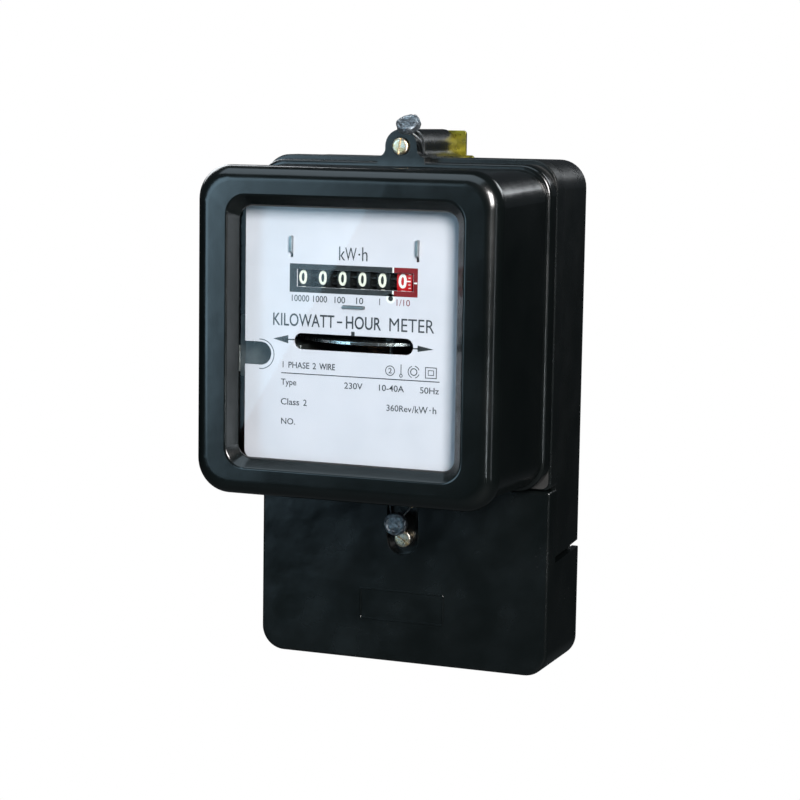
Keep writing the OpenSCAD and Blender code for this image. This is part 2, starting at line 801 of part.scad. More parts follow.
// A lead seal with its crimped wire, the face turned by tilt
module lead_seal(x, y, h, r, thick, tilt) {
    translate([x, y, h]) rotate([90 - tilt, 0, 0]) {
        translate([0, 0, -thick / 2 + 0.6]) cylinder(r = r, h = thick - 1.2);
        translate([0, 0, thick / 2 - 0.6]) cylinder(r1 = r, r2 = r - 1, h = 0.6);
        translate([0, 0, -thick / 2]) cylinder(r1 = r - 1, r2 = r, h = 0.6);
    }
}

module upper_seal() color([0.66, 0.68, 0.7]) seated() {
    lead_seal(4.5, -54.6, 234, 5.2, 4, 52);
    wire([[5.6, -52.8, 232.6], [7.9, -50.2, 230.6], [8.3, -47, 228], [8, -44.6, 225.2]], 0.4);
    wire([[3.4, -53.4, 232], [6.6, -52.3, 229.6], [8.3, -50.2, 227.2], [8.1, -45.4, 223.2]], 0.4);
}

// Terminal cover --------------------------------------------------------------------

module terminal_cover() color([0.07, 0.08, 0.08]) seated() {
    inner = half_case - wall;
    face = terminal_face;
    difference() {
        union() {
            slab(face, face - wall) panel(half_case, 0, terminal_h, low_corner_r, 1);
            // Skirt that reaches the wall below the joint
            difference() {
                slab(face - 1, 0) panel(half_case, 0, terminal_h, low_corner_r, 1);
                slab(face - wall, -1) panel(inner, wall, terminal_h + 5, low_corner_r - wall, 0.5);
                across(-half_case - 1, half_case + 1) polygon([
                    [1, terminal_h + 1], [-rim_back - 0.3, terminal_h + 1],
                    [-rim_back - 0.3, skirt_front_h], [0, skirt_back_h], [1, skirt_back_h]
                ]);
            }
            block([-11, 11], [-face + 1, -36], [45, terminal_h]);
            // Plain raised frame for an owner's label
            slab(face + 0.4, face - 0.5) difference() {
                panel(19.7, 18, 32, 1, 1);
                panel(18.9, 18.8, 31.2, 0.6, 0.6);
            }
        }
        // Pocket of the screw, open upwards
        slab(face + 1, 39.2) panel(7, 48.2, terminal_h + 8, 6.99, 0.5);
        rod_y(0, screw_h, 2.3, face + 1, 34);
        // Wire ways in the lower edge
        each_terminal() {
            block([-5, 5], [wire_y, 1], [-1, wall + 1]);
            translate([0, wire_y, -1]) cylinder(r = 5, h = wall + 2);
        }
    }
}

module terminal_cover_screw() color([0.8, 0.76, 0.62]) seated() {
    slotted_screw(0, screw_h, 3.6, 42.9, 39.2, 1.9, 26, -60);
}

module lower_seal() color([0.66, 0.68, 0.7]) seated() {
    lead_seal(-1.4, -46.2, 62.2, 5, 4, 0);
    wire([[-4.2, -45.2, 65.4], [-5.4, -43.4, 69], [-6.2, -41.2, 76]], 0.4);
    wire([[1.6, -45.2, 65.4], [3.4, -43.2, 68.6], [5.4, -41.2, 74]], 0.4);
}

base_case();
hanger_plate();
hanger_rivets();
cover_gasket();
screw_inserts();
terminal_block();
line_terminals();
terminal_screws();
block_screws();
voltage_link();
link_screws();
main_frame();
frame_screws();
voltage_core();
voltage_bobbin();
voltage_coil();
current_core();
current_coils();
current_leads();
voltage_leads();
lower_bearing();
upper_bearing();
brake_magnet();
magnet_bracket();
light_load_lever();
phase_loop();
register_frame();
register_screws();
drum_shaft();
pinion_shaft();
nameplate();
disc();
spindle();
worm();
worm_wheel();
lay_shaft();
drive_pinion();
idler_gear();
tenths_drum();
tenths_gear();
units_drum();
tens_drum();
hundreds_drum();
thousands_drum();
ten_thousands_drum();
transfer_pinion_1();
transfer_pinion_2();
transfer_pinion_3();
transfer_pinion_4();
transfer_pinion_5();
main_cover();
window_gasket();
window_glass();
glass_clips();
cover_screw();
upper_seal();
terminal_cover();
terminal_cover_screw();
lower_seal();
hanger_boss();
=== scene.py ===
import math

import bmesh
import bpy
from mathutils import Matrix, Vector


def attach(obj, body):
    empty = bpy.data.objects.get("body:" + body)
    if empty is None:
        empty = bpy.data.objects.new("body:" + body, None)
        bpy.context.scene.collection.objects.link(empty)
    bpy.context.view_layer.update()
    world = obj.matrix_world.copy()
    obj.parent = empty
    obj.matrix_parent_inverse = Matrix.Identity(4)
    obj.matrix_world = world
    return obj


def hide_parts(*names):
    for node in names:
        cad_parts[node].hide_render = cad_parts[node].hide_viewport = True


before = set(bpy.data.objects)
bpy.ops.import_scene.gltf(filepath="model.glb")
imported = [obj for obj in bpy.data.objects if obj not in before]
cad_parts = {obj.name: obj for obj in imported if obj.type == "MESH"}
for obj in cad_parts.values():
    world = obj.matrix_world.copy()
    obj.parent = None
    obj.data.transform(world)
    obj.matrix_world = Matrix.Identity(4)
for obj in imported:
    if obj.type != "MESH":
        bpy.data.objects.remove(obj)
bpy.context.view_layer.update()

# ---- Base case ---------------------------------------------------------------------
# The base is one black phenolic moulding: a tray that holds the measuring element, a
# thin tongue under it that carries the terminals, and a boss at the top for the cover
# screw. It hangs on the wall by the plate let into its back.
MM = 0.001
ORIGIN_H = 120
SCREW_H = 224.8
LOW_SCREW_H = 55
FIXINGS_X = (-52, 52)
FIXING_H = 14
FRAME_BOSSES = [(x, h) for x in (-38, 38) for h in (106, 198)]
SQUARE_ON = (math.pi / 2, 0, 0)
CORNER_SHARE = 0.6
SHARP_ANGLE = 38
SMOOTH_ANGLE = 34


def place(x, out, h):
    """Millimetres across, out from the wall and above the lowest edge, in metres."""
    return Vector((x * MM, -out * MM, (h - ORIGIN_H) * MM))


def only(piece):
    """Makes one piece the selected and active one."""
    bpy.ops.object.select_all(action="DESELECT")
    bpy.context.view_layer.objects.active = piece
    piece.select_set(True)


def pick(piece, kind, wanted):
    """Selects the corners, edges or faces of a piece that wanted says."""
    bpy.ops.mesh.select_mode(type=kind)
    bpy.ops.mesh.select_all(action="DESELECT")
    shape = bmesh.from_edit_mesh(piece.data)
    parts = {"VERT": shape.verts, "EDGE": shape.edges, "FACE": shape.faces}[kind]
    for part in parts:
        if wanted(part):
            part.select = True
    shape.select_flush_mode()
    bmesh.update_edit_mesh(piece.data)


def nudged(piece, wanted, rise):
    """Moves the corners of a piece that wanted says, by a rise in millimetres."""
    only(piece)
    bpy.ops.object.mode_set(mode="EDIT")
    pick(piece, "VERT", wanted)
    bpy.ops.transform.translate(value=(0, 0, rise * MM))
    bpy.ops.object.mode_set(mode="OBJECT")


def closed_up(weld=None):
    """Ends an edit: welds corners nearer than weld and turns all faces outward."""
    bpy.ops.mesh.select_all(action="SELECT")
    if weld:
        bpy.ops.mesh.remove_doubles(threshold=weld * MM)
    bpy.ops.mesh.normals_make_consistent(inside=False)
    bpy.ops.object.mode_set(mode="OBJECT")


def about(centre, degrees, axis):
    """A turn about an axis through a spot."""
    return (Matrix.Translation(centre) @ Matrix.Rotation(math.radians(degrees), 4, axis)
            @ Matrix.Translation(-centre))


def off_outline(spot, ring):
    """How far a spot lies from the outline of a ring, in millimetres."""
    half, low, top, r_low, r_top, out = ring
    if abs(-spot.y / MM - out) > 0.004:
        return 9
    middle = (low + top) / 2
    h = spot.z / MM + ORIGIN_H - middle
    r = r_low if h < 0 else r_top
    dx = abs(spot.x) / MM - (half - r)
    dh = abs(h) - ((top - low) / 2 - r)
    return abs(math.hypot(max(dx, 0), max(dh, 0)) + min(max(dx, dh), 0) - r)


def moulded(name, rings, closed=False, segments=10):
    """A skin over rounded rectangles, each (half width, low, top, two radii, out)."""

    def open_edge(edge, *sides):
        if len(edge.link_faces) > 1:
            return False
        return any(all(off_outline(v.co, s) < 0.03 for v in edge.verts) for s in sides)

    before = None
    for ring in rings:
        half, low, top, r_low, r_top, out = ring
        centre = place(0, out, (low + top) / 2)
        bpy.ops.mesh.primitive_plane_add(size=1, location=centre, rotation=SQUARE_ON)
        if before is None:
            piece = bpy.context.object
            piece.name = name
            bpy.ops.object.transform_apply()
            bpy.ops.object.mode_set(mode="EDIT")
            bpy.ops.mesh.select_all(action="SELECT")
        bpy.ops.transform.resize(value=(2 * half * MM, 1, (top - low) * MM), center_override=centre)
        for h, r in ((low, r_low), (top, r_top)):
            corners = [place(side * half, out, h) for side in (-1, 1)]
            pick(piece, "VERT", lambda v: min((v.co - c).length for c in corners) < 1e-6)
            bpy.ops.mesh.bevel(offset=r * MM, segments=segments, affect="VERTICES")
        pick(piece, "FACE", lambda f: all(off_outline(v.co, ring) < 0.03 for v in f.verts))
        bpy.ops.mesh.delete(type="ONLY_FACE")
        if before is not None:
            pick(piece, "EDGE", lambda e: open_edge(e, before, ring))
            bpy.ops.mesh.bridge_edge_loops()
        before = ring
    if closed:
        pick(piece, "EDGE", lambda e: open_edge(e, rings[0], rings[-1]))
        bpy.ops.mesh.bridge_edge_loops()
    else:
        for end in (rings[0], rings[-1]):
            pick(piece, "EDGE", lambda e: open_edge(e, end))
            bpy.ops.mesh.edge_face_add()
    closed_up()
    return piece


def rolled(ring, inset, rise, steps):
    """Rings that turn the edge of a ring over through a quarter round."""
    half, low, top, r_low, r_top, out = ring
    rings = []
    for i in range(1, steps + 1):
        turn = math.radians(90 * i / steps)
        step_in = inset * (1 - math.cos(turn))
        tighter = step_in * CORNER_SHARE
        rings.append((half - step_in, low + step_in, top - step_in,
                      r_low - tighter, r_top - tighter, out + rise * math.sin(turn)))
    return rings


def brick(x, out, h):
    """A block between two distances across, out from the wall and up."""
    low, high = place(x[0], out[0], h[0]), place(x[1], out[1], h[1])
    bpy.ops.mesh.primitive_cube_add(size=1, location=(low + high) / 2)
    block = bpy.context.object
    block.scale = (high[0] - low[0], low[1] - high[1], high[2] - low[2])
    bpy.ops.object.transform_apply()
    return block


def rod(x, h, r, back, front, sides=48):
    """A round bar that points out of the wall."""
    bpy.ops.mesh.primitive_cylinder_add(
        vertices=sides, radius=r * MM, depth=(front - back) * MM,
        location=place(x, (front + back) / 2, h), rotation=SQUARE_ON)
    bpy.ops.object.transform_apply()
    return bpy.context.object


def upright(centre, r, tall, sides):
    """A round bar that stands upright."""
    bpy.ops.mesh.primitive_cylinder_add(vertices=sides, radius=r * MM, depth=tall * MM,
                                        location=centre)
    bpy.ops.object.transform_apply()
    return bpy.context.object


def worked(piece, tool, how):
    """Joins a tool shape to a piece (UNION), or cuts the piece by it (DIFFERENCE)."""
    only(piece)
    change = piece.modifiers.new("shape", "BOOLEAN")
    change.object = tool
    change.operation = how
    change.solver = "EXACT"
    bpy.ops.object.modifier_apply(modifier="shape")
    bpy.data.objects.remove(tool)


def eased(piece, width, segments=2):
    """Rounds the sharp edges of a piece by a small radius and shades it smoothly."""
    only(piece)
    bpy.ops.object.mode_set(mode="EDIT")
    bpy.ops.mesh.select_all(action="SELECT")
    bpy.ops.mesh.remove_doubles(threshold=0.004 * MM)
    bpy.ops.mesh.dissolve_limited(angle_limit=math.radians(0.8))
    bpy.ops.object.mode_set(mode="OBJECT")
    edge = piece.modifiers.new("edge", "BEVEL")
    edge.width = width * MM
    edge.segments = segments
    edge.limit_method = "ANGLE"
    edge.angle_limit = math.radians(SHARP_ANGLE)
    edge.use_clamp_overlap = True
    bpy.ops.object.modifier_apply(modifier="edge")
    bpy.ops.object.shade_smooth_by_angle(angle=math.radians(SMOOTH_ANGLE))
    flat = piece.modifiers.new("flat", "WEIGHTED_NORMAL")
    flat.keep_sharp = True
    bpy.ops.object.modifier_apply(modifier="flat")


def lug(back, front):
    """The arch at the top that takes the cover screw, with its fillets."""
    arch_r, foot_h, fillet_x, fillet_h = 7.2, 214.3, 10.7, 223.8
    arch = rod(0, SCREW_H, arch_r, back, front, 64)
    worked(arch, brick((-arch_r, arch_r), (back, front), (foot_h, SCREW_H)), "UNION")
    for side in (-1, 1):
        fillet = brick(sorted((side * 7.0, side * fillet_x)), (back, front), (foot_h, fillet_h))
        worked(fillet, rod(side * fillet_x, fillet_h, 3.5, back - 1, front + 1, 64),
               "DIFFERENCE")
        worked(arch, fillet, "UNION")
    return arch


def finish(name, shade, second, patch, rough, metal=0.0, grain=(0.3, 0.0), relief=(20, 0.0),
           coat=0.0, brush=None, specks=0.0):
    """A material: two shades in patches, a range of gloss, a fine grain and a slow relief.
    Patch, grain and relief sizes are in millimetres. Brush stretches the grain by axis."""
    material = bpy.data.materials.new(name)
    material.use_nodes = True
    nodes, links = material.node_tree.nodes, material.node_tree.links
    shader = nodes["Principled BSDF"]
    shader.inputs["Metallic"].default_value = metal
    shader.inputs["Coat Weight"].default_value = coat
    shader.inputs["Coat Roughness"].default_value = 0.12
    where = nodes.new("ShaderNodeTexCoord")

    def noise(size, detail, stretched=False):
        texture = nodes.new("ShaderNodeTexNoise")
        texture.inputs["Scale"].default_value = 1 / (size * MM)
        texture.inputs["Detail"].default_value = detail
        if stretched and brush:
            squeeze = nodes.new("ShaderNodeMapping")
            squeeze.inputs["Scale"].default_value = brush
            links.new(where.outputs["Object"], squeeze.inputs["Vector"])
            links.new(squeeze.outputs["Vector"], texture.inputs["Vector"])
        else:
            links.new(where.outputs["Object"], texture.inputs["Vector"])
        return texture.outputs["Fac"]

    def spread(value, low, high, to_low, to_high):
        scaled = nodes.new("ShaderNodeMapRange")
        for socket, number in zip(("From Min", "From Max", "To Min", "To Max"),
                                  (low, high, to_low, to_high)):
            scaled.inputs[socket].default_value = number
        links.new(value, scaled.inputs["Value"])
        return scaled.outputs["Result"]

    patches = noise(patch, 5)
    colour = nodes.new("ShaderNodeMix")
    colour.data_type = "RGBA"
    colour.inputs[6].default_value = (*shade, 1)
    colour.inputs[7].default_value = (*second, 1)
    links.new(spread(patches, 0.36, 0.64, 0, 1), colour.inputs["Factor"])
    shown = colour.outputs[2]
    if specks:
        dust = nodes.new("ShaderNodeTexVoronoi")
        dust.inputs["Scale"].default_value = 1 / (2.6 * MM)
        links.new(where.outputs["Object"], dust.inputs["Vector"])
        dusty = nodes.new("ShaderNodeMix")
        dusty.data_type = "RGBA"
        dusty.inputs[7].default_value = (specks, specks, specks, 1)
        grains = nodes.new("ShaderNodeMath")
        grains.operation = "MULTIPLY"
        links.new(spread(dust.outputs["Distance"], 0.05, 0.09, 1, 0), grains.inputs[0])
        links.new(spread(noise(31, 3), 0.52, 0.66, 0, 1), grains.inputs[1])
        links.new(grains.outputs[0], dusty.inputs["Factor"])
        links.new(shown, dusty.inputs[6])
        shown = dusty.outputs[2]
    links.new(shown, shader.inputs["Base Color"])
    links.new(spread(noise(patch * 0.45, 6, True), 0.3, 0.7, *rough), shader.inputs["Roughness"])
    normal = None
    for (size, height), stretched in ((relief, False), (grain, True)):
        if height:
            bump = nodes.new("ShaderNodeBump")
            bump.inputs["Strength"].default_value = 1.0
            bump.inputs["Distance"].default_value = height * MM
            links.new(noise(size, 3, stretched), bump.inputs["Height"])
            if normal:
                links.new(normal, bump.inputs["Normal"])
            normal = bump.outputs["Normal"]
    if normal:
        links.new(normal, shader.inputs["Normal"])
    return material


def fitted(piece, material, body, slot, *nodes):
    """Gives a new piece its finish and its body, and hides the CAD nodes that it stands for."""
    piece.data.materials.clear()
    piece.data.materials.append(material)
    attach(piece, body)
    if nodes:
        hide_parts(*nodes)


base = moulded("base_moulding", [
    (65.8, 46.0, 219.0, 1, 11.4, 0.05),
    (66.35, 46.0, 219.55, 1, 11.8, 0.25),
    (66.6, 46.0, 219.8, 1, 12, 0.8),
    (66.6, 46.0, 219.8, 1, 12, 34.2),
])
worked(base, moulded("hollow", [
    (62.6, 30, 215.8, 1, 8.0, 3.6),
    (63.3, 30, 216.5, 1, 8.7, 4.0),
    (63.6, 30, 216.8, 1, 9, 4.8),
    (63.6, 30, 216.8, 1, 9, 35.5),
]), "DIFFERENCE")
below = brick((-70, 70), (-1, 35.5), (-1, 53.4))
nudged(below, lambda v: v.co.y < -30 * MM and v.co.z > -80 * MM, -2.6)
worked(base, below, "DIFFERENCE")
worked(base, moulded("tongue", [
    (62.8, 3.9, 60, 7.5, 1, 0.05),
    (63.3, 3.4, 60, 8, 1, 0.5),
    (63.3, 3.4, 60, 8, 1, 3.1),
    (62.8, 3.9, 59.5, 7.5, 1, 3.6),
]), "UNION")
worked(base, moulded("rim", [
    (66.9, 81.4, 220.1, 3, 12, 33.5),
    (67.1, 81.2, 220.3, 3, 12, 33.9),
    (67.1, 81.2, 220.3, 3, 12, 42.5),
    (66.6, 81.7, 219.8, 2.8, 11.6, 43.0),
    (61.9, 85.2, 215.3, 3, 7, 43.0),
    (61.9, 85.2, 215.3, 3, 7, 33.5),
], closed=True), "UNION")
worked(base, brick((-63.7, 63.7), (3.5, 42.5), (81.3, 84.4)), "UNION")
worked(base, lug(2, 43), "UNION")
worked(base, brick((-14.85, 14.85), (1, 7.8), (198, 218.3)), "UNION")
worked(base, brick((-9, 9), (1, 12), (199, 218.3)), "UNION")
worked(base, rod(0, LOW_SCREW_H, 5, 1, 35.7), "UNION")
for x, h in FRAME_BOSSES:
    worked(base, rod(x, h, 5, 1, 8), "UNION")
for x in FIXINGS_X:
    worked(base, rod(x, FIXING_H, 6, 1, 7), "UNION")
worked(base, moulded("hanger_recess", [
    (14.9, 198, 223, 2, 0.5, -1), (14.9, 198, 223, 2, 0.5, 2)]), "DIFFERENCE")
worked(base, moulded("head_space", [
    (5.6, 203, 226.5, 5.5, 5.5, 1), (5.6, 203, 226.5, 5.5, 5.5, 9)]), "DIFFERENCE")
for low, top in ((8, 54), (62, 118), (124, 180)):
    worked(base, moulded("back_panel", [
        (56, low, top, 3, 3, -1), (56, low, top, 3, 3, 0.3),
        (55.4, low + 0.6, top - 0.6, 3, 3, 0.9)]), "DIFFERENCE")
for x in FIXINGS_X:
    worked(base, rod(x, FIXING_H, 2.75, -1, 8), "DIFFERENCE")
for x in (-11, 11):
    worked(base, rod(x, 202.5, 1.6, -1, 7), "DIFFERENCE")
worked(base, rod(0, SCREW_H, 3, 33, 44), "DIFFERENCE")
worked(base, rod(0, LOW_SCREW_H, 3, 24, 37), "DIFFERENCE")
for x, h in FRAME_BOSSES:
    worked(base, rod(x, h, 1.7, 1.5, 9), "DIFFERENCE")
for x in (-33, -11, 42):
    worked(base, brick((x - 4, x + 4), (11, 33), (80, 86)), "DIFFERENCE")
eased(base, 0.45)
phenolic = finish("phenolic_base", (0.0032, 0.0044, 0.0044), (0.0048, 0.0063, 0.0065), 38,
                  (0.2, 0.34), grain=(0.5, 0.012), relief=(26, 0.22), coat=0.25)
fitted(base, phenolic, "case", "phenolic_base", "base_case", "hanger_boss")

# ---- Hanger plate ------------------------------------------------------------------
# A stamped steel plate with a keyhole, plated in yellow zinc, let into the back of the
# base. Two steel rivets hold it.


def refined(node, width, material, slot, segments=2):
    """Replaces a CAD node by a copy with eased edges, as casting or stamping leaves them."""
    piece = bpy.data.objects.new(node + "_finished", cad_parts[node].data.copy())
    bpy.context.scene.collection.objects.link(piece)
    eased(piece, width, segments)
    fitted(piece, material, "case", slot, node)
    return piece


def dress(material, *nodes):
    """Gives a finish to CAD nodes that keep their own shape."""
    for node in nodes:
        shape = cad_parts[node]
        shape.data.materials.clear()
        shape.data.materials.append(material)


yellow_zinc = finish("yellow_zinc", (0.36, 0.31, 0.025), (0.20, 0.19, 0.035), 5, (0.22, 0.5),
                     metal=0.85, grain=(0.8, 0.02), relief=(9, 0.1))
refined("hanger_plate", 0.25, yellow_zinc, "zinc_yellow")

steel = finish("zinc_steel", (0.56, 0.57, 0.57), (0.42, 0.43, 0.44), 4, (0.25, 0.5), metal=1,
               grain=(0.4, 0.015))
refined("hanger_rivets", 0.2, steel, "zinc_steel")

# ---- Terminals ---------------------------------------------------------------------
# A phenolic block screwed to the tongue of the base. It holds four brass terminals,
# each with two steel screws, and a small brass link for the voltage circuit.
block_phenolic = finish("phenolic_block", (0.016, 0.014, 0.012), (0.028, 0.023, 0.019), 9,
                        (0.34, 0.55), grain=(0.6, 0.03), relief=(14, 0.2))
refined("terminal_block", 0.4, block_phenolic, "phenolic_block")
brass = finish("brass", (0.72, 0.52, 0.2), (0.5, 0.33, 0.12), 3, (0.24, 0.48), metal=1,
               grain=(0.5, 0.012))
refined("line_terminals", 0.25, brass, "brass")
refined("voltage_link", 0.15, brass, "brass")
refined("terminal_screws", 0.2, steel, "zinc_steel")
dress(steel, "block_screws", "link_screws", "frame_screws", "register_screws", "glass_clips")
dress(brass, "screw_inserts", "worm", "drive_pinion")

# ---- Measuring element -------------------------------------------------------------
# A die-cast frame carries two stacks of silicon steel sheets. The upper one has the
# fine voltage coil on a nylon bobbin, the lower one two coils of heavy copper wire.
cast_alloy = finish("cast_alloy", (0.40, 0.41, 0.42), (0.31, 0.32, 0.33), 8, (0.4, 0.62),
                    metal=0.8, grain=(0.7, 0.06), relief=(12, 0.2))
refined("main_frame", 0.35, cast_alloy, "cast_alloy")


WAVE_LENGTH = 0.314


def ridged(material, direction, pitch, uneven, depth):
    """Adds parallel ridges to a finish: stacked sheets, or the turns of a coil."""
    nodes, links = material.node_tree.nodes, material.node_tree.links
    where = nodes.new("ShaderNodeTexCoord")
    wave = nodes.new("ShaderNodeTexWave")
    wave.bands_direction = direction
    wave.inputs["Scale"].default_value = WAVE_LENGTH / (pitch * MM)
    wave.inputs["Distortion"].default_value = uneven
    ridge = nodes.new("ShaderNodeBump")
    ridge.inputs["Distance"].default_value = depth * MM
    links.new(where.outputs["Object"], wave.inputs["Vector"])
    links.new(wave.outputs["Fac"], ridge.inputs["Height"])
    links.new(ridge.outputs["Normal"], nodes["Principled BSDF"].inputs["Normal"])


laminated = finish("silicon_steel", (0.23, 0.22, 0.21), (0.12, 0.105, 0.095), 6, (0.35, 0.6),
                   metal=0.7)
ridged(laminated, "Y", 0.5, 0.6, 0.08)
refined("voltage_core", 0.15, laminated, "lamination")
refined("current_core", 0.15, laminated, "lamination")

nylon = finish("nylon", (0.72, 0.69, 0.6), (0.66, 0.62, 0.52), 5, (0.35, 0.5),
               grain=(0.6, 0.01))
refined("voltage_bobbin", 0.2, nylon, "bobbin_nylon")
enamel = finish("enamelled_wire", (0.32, 0.075, 0.02), (0.22, 0.045, 0.014), 3, (0.22, 0.4),
                metal=0.45, coat=0.5)
ridged(enamel, "X", 0.4, 0.25, 0.12)
dress(enamel, "voltage_coil")
copper = finish("copper", (0.78, 0.36, 0.2), (0.55, 0.22, 0.11), 4, (0.25, 0.45), metal=1,
                coat=0.3)
dress(copper, "current_leads", "phase_loop")
heavy_wire = finish("heavy_copper_wire", (0.74, 0.33, 0.17), (0.5, 0.2, 0.1), 4, (0.25, 0.42),
                    metal=1, coat=0.4)
ridged(heavy_wire, "Z", 3.2, 0.25, 0.8)
dress(heavy_wire, "current_coils")
lead_sleeve = finish("lead_sleeve", (0.42, 0.035, 0.03), (0.33, 0.028, 0.026), 4, (0.4, 0.55),
                     grain=(0.4, 0.01))
dress(lead_sleeve, "voltage_leads")
nickel = finish("nickelled_brass", (0.66, 0.62, 0.52), (0.5, 0.45, 0.34), 3, (0.18, 0.4),
                metal=1, grain=(0.3, 0.008))
dress(nickel, "lower_bearing", "upper_bearing")
magnet_alloy = finish("magnet_alloy", (0.36, 0.37, 0.38), (0.26, 0.265, 0.27), 5, (0.3, 0.5),
                      metal=0.9, grain=(0.5, 0.03))
refined("brake_magnet", 0.7, magnet_alloy, "magnet_alloy", 3)
refined("magnet_bracket", 0.2, steel, "zinc_steel")
refined("light_load_lever", 0.15, steel, "zinc_steel")

# ---- Disc and spindle --------------------------------------------------------------
# An aluminium disc, rolled sheet with a turned edge, on a steel spindle. Its edge has a
# hundred fine marks and one black patch, by which its turns are counted.
DISC_OUT = 58
DISC_H = 145.1
DISC_R = 39.5
DISC_THICK = 1.2
disc_centre = place(0, DISC_OUT, DISC_H)
disc = upright(disc_centre, DISC_R, DISC_THICK, 192)
disc.name = "disc_turned"
worked(disc, upright(disc_centre, 4, 8, 64), "UNION")
worked(disc, upright(disc_centre, 1.5, 20, 32), "DIFFERENCE")
for side in (-1, 1):
    worked(disc, upright(place(side * 14, DISC_OUT, DISC_H), 1, 9, 32), "DIFFERENCE")
eased(disc, 0.18)
aluminium = finish("rolled_aluminium", (0.84, 0.85, 0.86), (0.74, 0.75, 0.76), 12,
                   (0.16, 0.34), metal=1, grain=(0.5, 0.02), brush=(1, 12, 1))
fitted(disc, aluminium, "rotor", "disc_aluminium", "disc")

MARKS = 100
mark_at = place(0, DISC_OUT + DISC_R, DISC_H)
bpy.ops.mesh.primitive_cube_add(size=1, location=mark_at)
marks = bpy.context.object
marks.name = "disc_edge_marks"
marks.scale = (0.35 * MM, 0.03 * MM, 0.5 * MM)
bpy.ops.object.transform_apply()
bpy.ops.object.mode_set(mode="EDIT")
bpy.ops.mesh.select_all(action="SELECT")
bpy.ops.mesh.spin(steps=MARKS - 1, dupli=True, angle=math.radians(360 - 360 / MARKS),
                  center=disc_centre, axis=(0, 0, 1))
bpy.ops.object.mode_set(mode="OBJECT")
ink_black = finish("black_ink", (0.018, 0.019, 0.022), (0.028, 0.03, 0.034), 2, (0.4, 0.6),
                   grain=(0.2, 0.004))
fitted(marks, ink_black, "rotor", "disc_aluminium")

bpy.ops.mesh.primitive_cube_add(size=1, location=mark_at)
patch = bpy.context.object
patch.name = "disc_black_patch"
patch.scale = (0.2 * MM, 0.04 * MM, 1.0 * MM)
bpy.ops.object.transform_apply()
bpy.ops.object.mode_set(mode="EDIT")
bpy.ops.mesh.select_all(action="SELECT")
bpy.ops.transform.translate(value=(-2.8 * MM, 0.1 * MM, 0))
pick(patch, "FACE", lambda f: f.normal.x > 0.9)
bpy.ops.mesh.spin(steps=16, angle=math.radians(-17), center=disc_centre, axis=(0, 0, 1))
closed_up()
fitted(patch, ink_black, "rotor", "disc_aluminium")

steel_shaft = finish("shaft_steel", (0.62, 0.62, 0.62), (0.5, 0.5, 0.5), 3, (0.14, 0.3),
                     metal=1, grain=(0.3, 0.01), brush=(1, 1, 8))
dress(steel_shaft, "spindle", "lay_shaft", "drum_shaft", "pinion_shaft")

# ---- Register ----------------------------------------------------------------------
# A folded steel frame holds six moulded number drums on one shaft, with nylon pinions
# that carry a turn from each drum to the next. Two twisted tabs and a lip in front of
# it hold the nameplate. The drums' figures are hot-stamped in white.
register_metal = finish("register_sheet", (0.30, 0.31, 0.32), (0.4, 0.41, 0.42), 4,
                        (0.28, 0.5), metal=0.95, grain=(0.4, 0.012))
register = refined("register_frame", 0.12, register_metal, "register_sheet")
nudged(register, lambda v: v.co.y < -100.6 * MM and 179 < v.co.z / MM + ORIGIN_H < 181, 2.4)

gear_nylon = finish("gear_nylon", (0.70, 0.68, 0.62), (0.64, 0.62, 0.55), 4, (0.3, 0.5),
                    grain=(0.5, 0.01))
dress(gear_nylon, "worm_wheel", "idler_gear", "tenths_gear", *[
    f"transfer_pinion_{i}" for i in range(1, 6)])

drum_black = finish("drum_black", (0.006, 0.0065, 0.007), (0.010, 0.0105, 0.011), 3,
                    (0.3, 0.48), grain=(0.4, 0.01))
drum_red = finish("drum_red", (0.52, 0.005, 0.008), (0.44, 0.004, 0.007), 3, (0.3, 0.48),
                  grain=(0.4, 0.01))
black_drums = ("units", "tens", "hundreds", "thousands", "ten_thousands")
dress(drum_black, *[f"{name}_drum" for name in black_drums])
dress(drum_red, "tenths_drum")

DRUM_OUT = 87.5
DRUM_H = 171.2
DRUM_R = 11
DRUM_PITCH = 8.74
TENTHS_X = 20.6
FIGURE_W = 3.5
FIGURE_TALL = 5.9
FIGURE_TURN = 36
FIRST_TURN = -1.5


def lettered(body, x, h, out, thick, weight):
    """Solid lettering that fills the space between two distances across and two heights."""
    bpy.ops.object.text_add(rotation=SQUARE_ON)
    text = bpy.context.object
    text.data.body = body
    text.data.resolution_u = 4
    text.data.offset = weight
    text.data.extrude = 0.5
    bpy.ops.object.convert(target="MESH")
    bpy.ops.object.transform_apply()
    shape = bpy.context.object
    corners = [v.co for v in shape.data.vertices]
    low = Vector([min(c[i] for c in corners) for i in range(3)])
    high = Vector([max(c[i] for c in corners) for i in range(3)])
    start, end = place(x[0], out, h[0]), place(x[1], out + thick, h[1])
    scale = Vector([(end[i] - start[i]) / (high[i] - low[i]) for i in range(3)])
    scale.y = abs(scale.y)
    shape.scale = scale
    shape.location = Vector((start.x - low.x * scale.x, end.y - low.y * scale.y,
                             start.z - low.z * scale.z))
    bpy.ops.object.transform_apply()
    bpy.ops.object.mode_set(mode="EDIT")
    closed_up(0.0005)
    return shape


def joined(name, shapes):
    """Joins several shapes to one piece."""
    bpy.ops.object.select_all(action="DESELECT")
    for shape in shapes:
        shape.select_set(True)
    bpy.context.view_layer.objects.active = shapes[0]
    bpy.ops.object.join()
    shapes[0].name = name
    return shapes[0]


def sleeve(r, width):
    """A round bar along the drums' shaft."""
    bpy.ops.mesh.primitive_cylinder_add(
        vertices=180, radius=r * MM, depth=width * MM, location=place(0, DRUM_OUT, DRUM_H),
        rotation=(0, math.pi / 2, 0))
    bpy.ops.object.transform_apply()
    return bpy.context.object


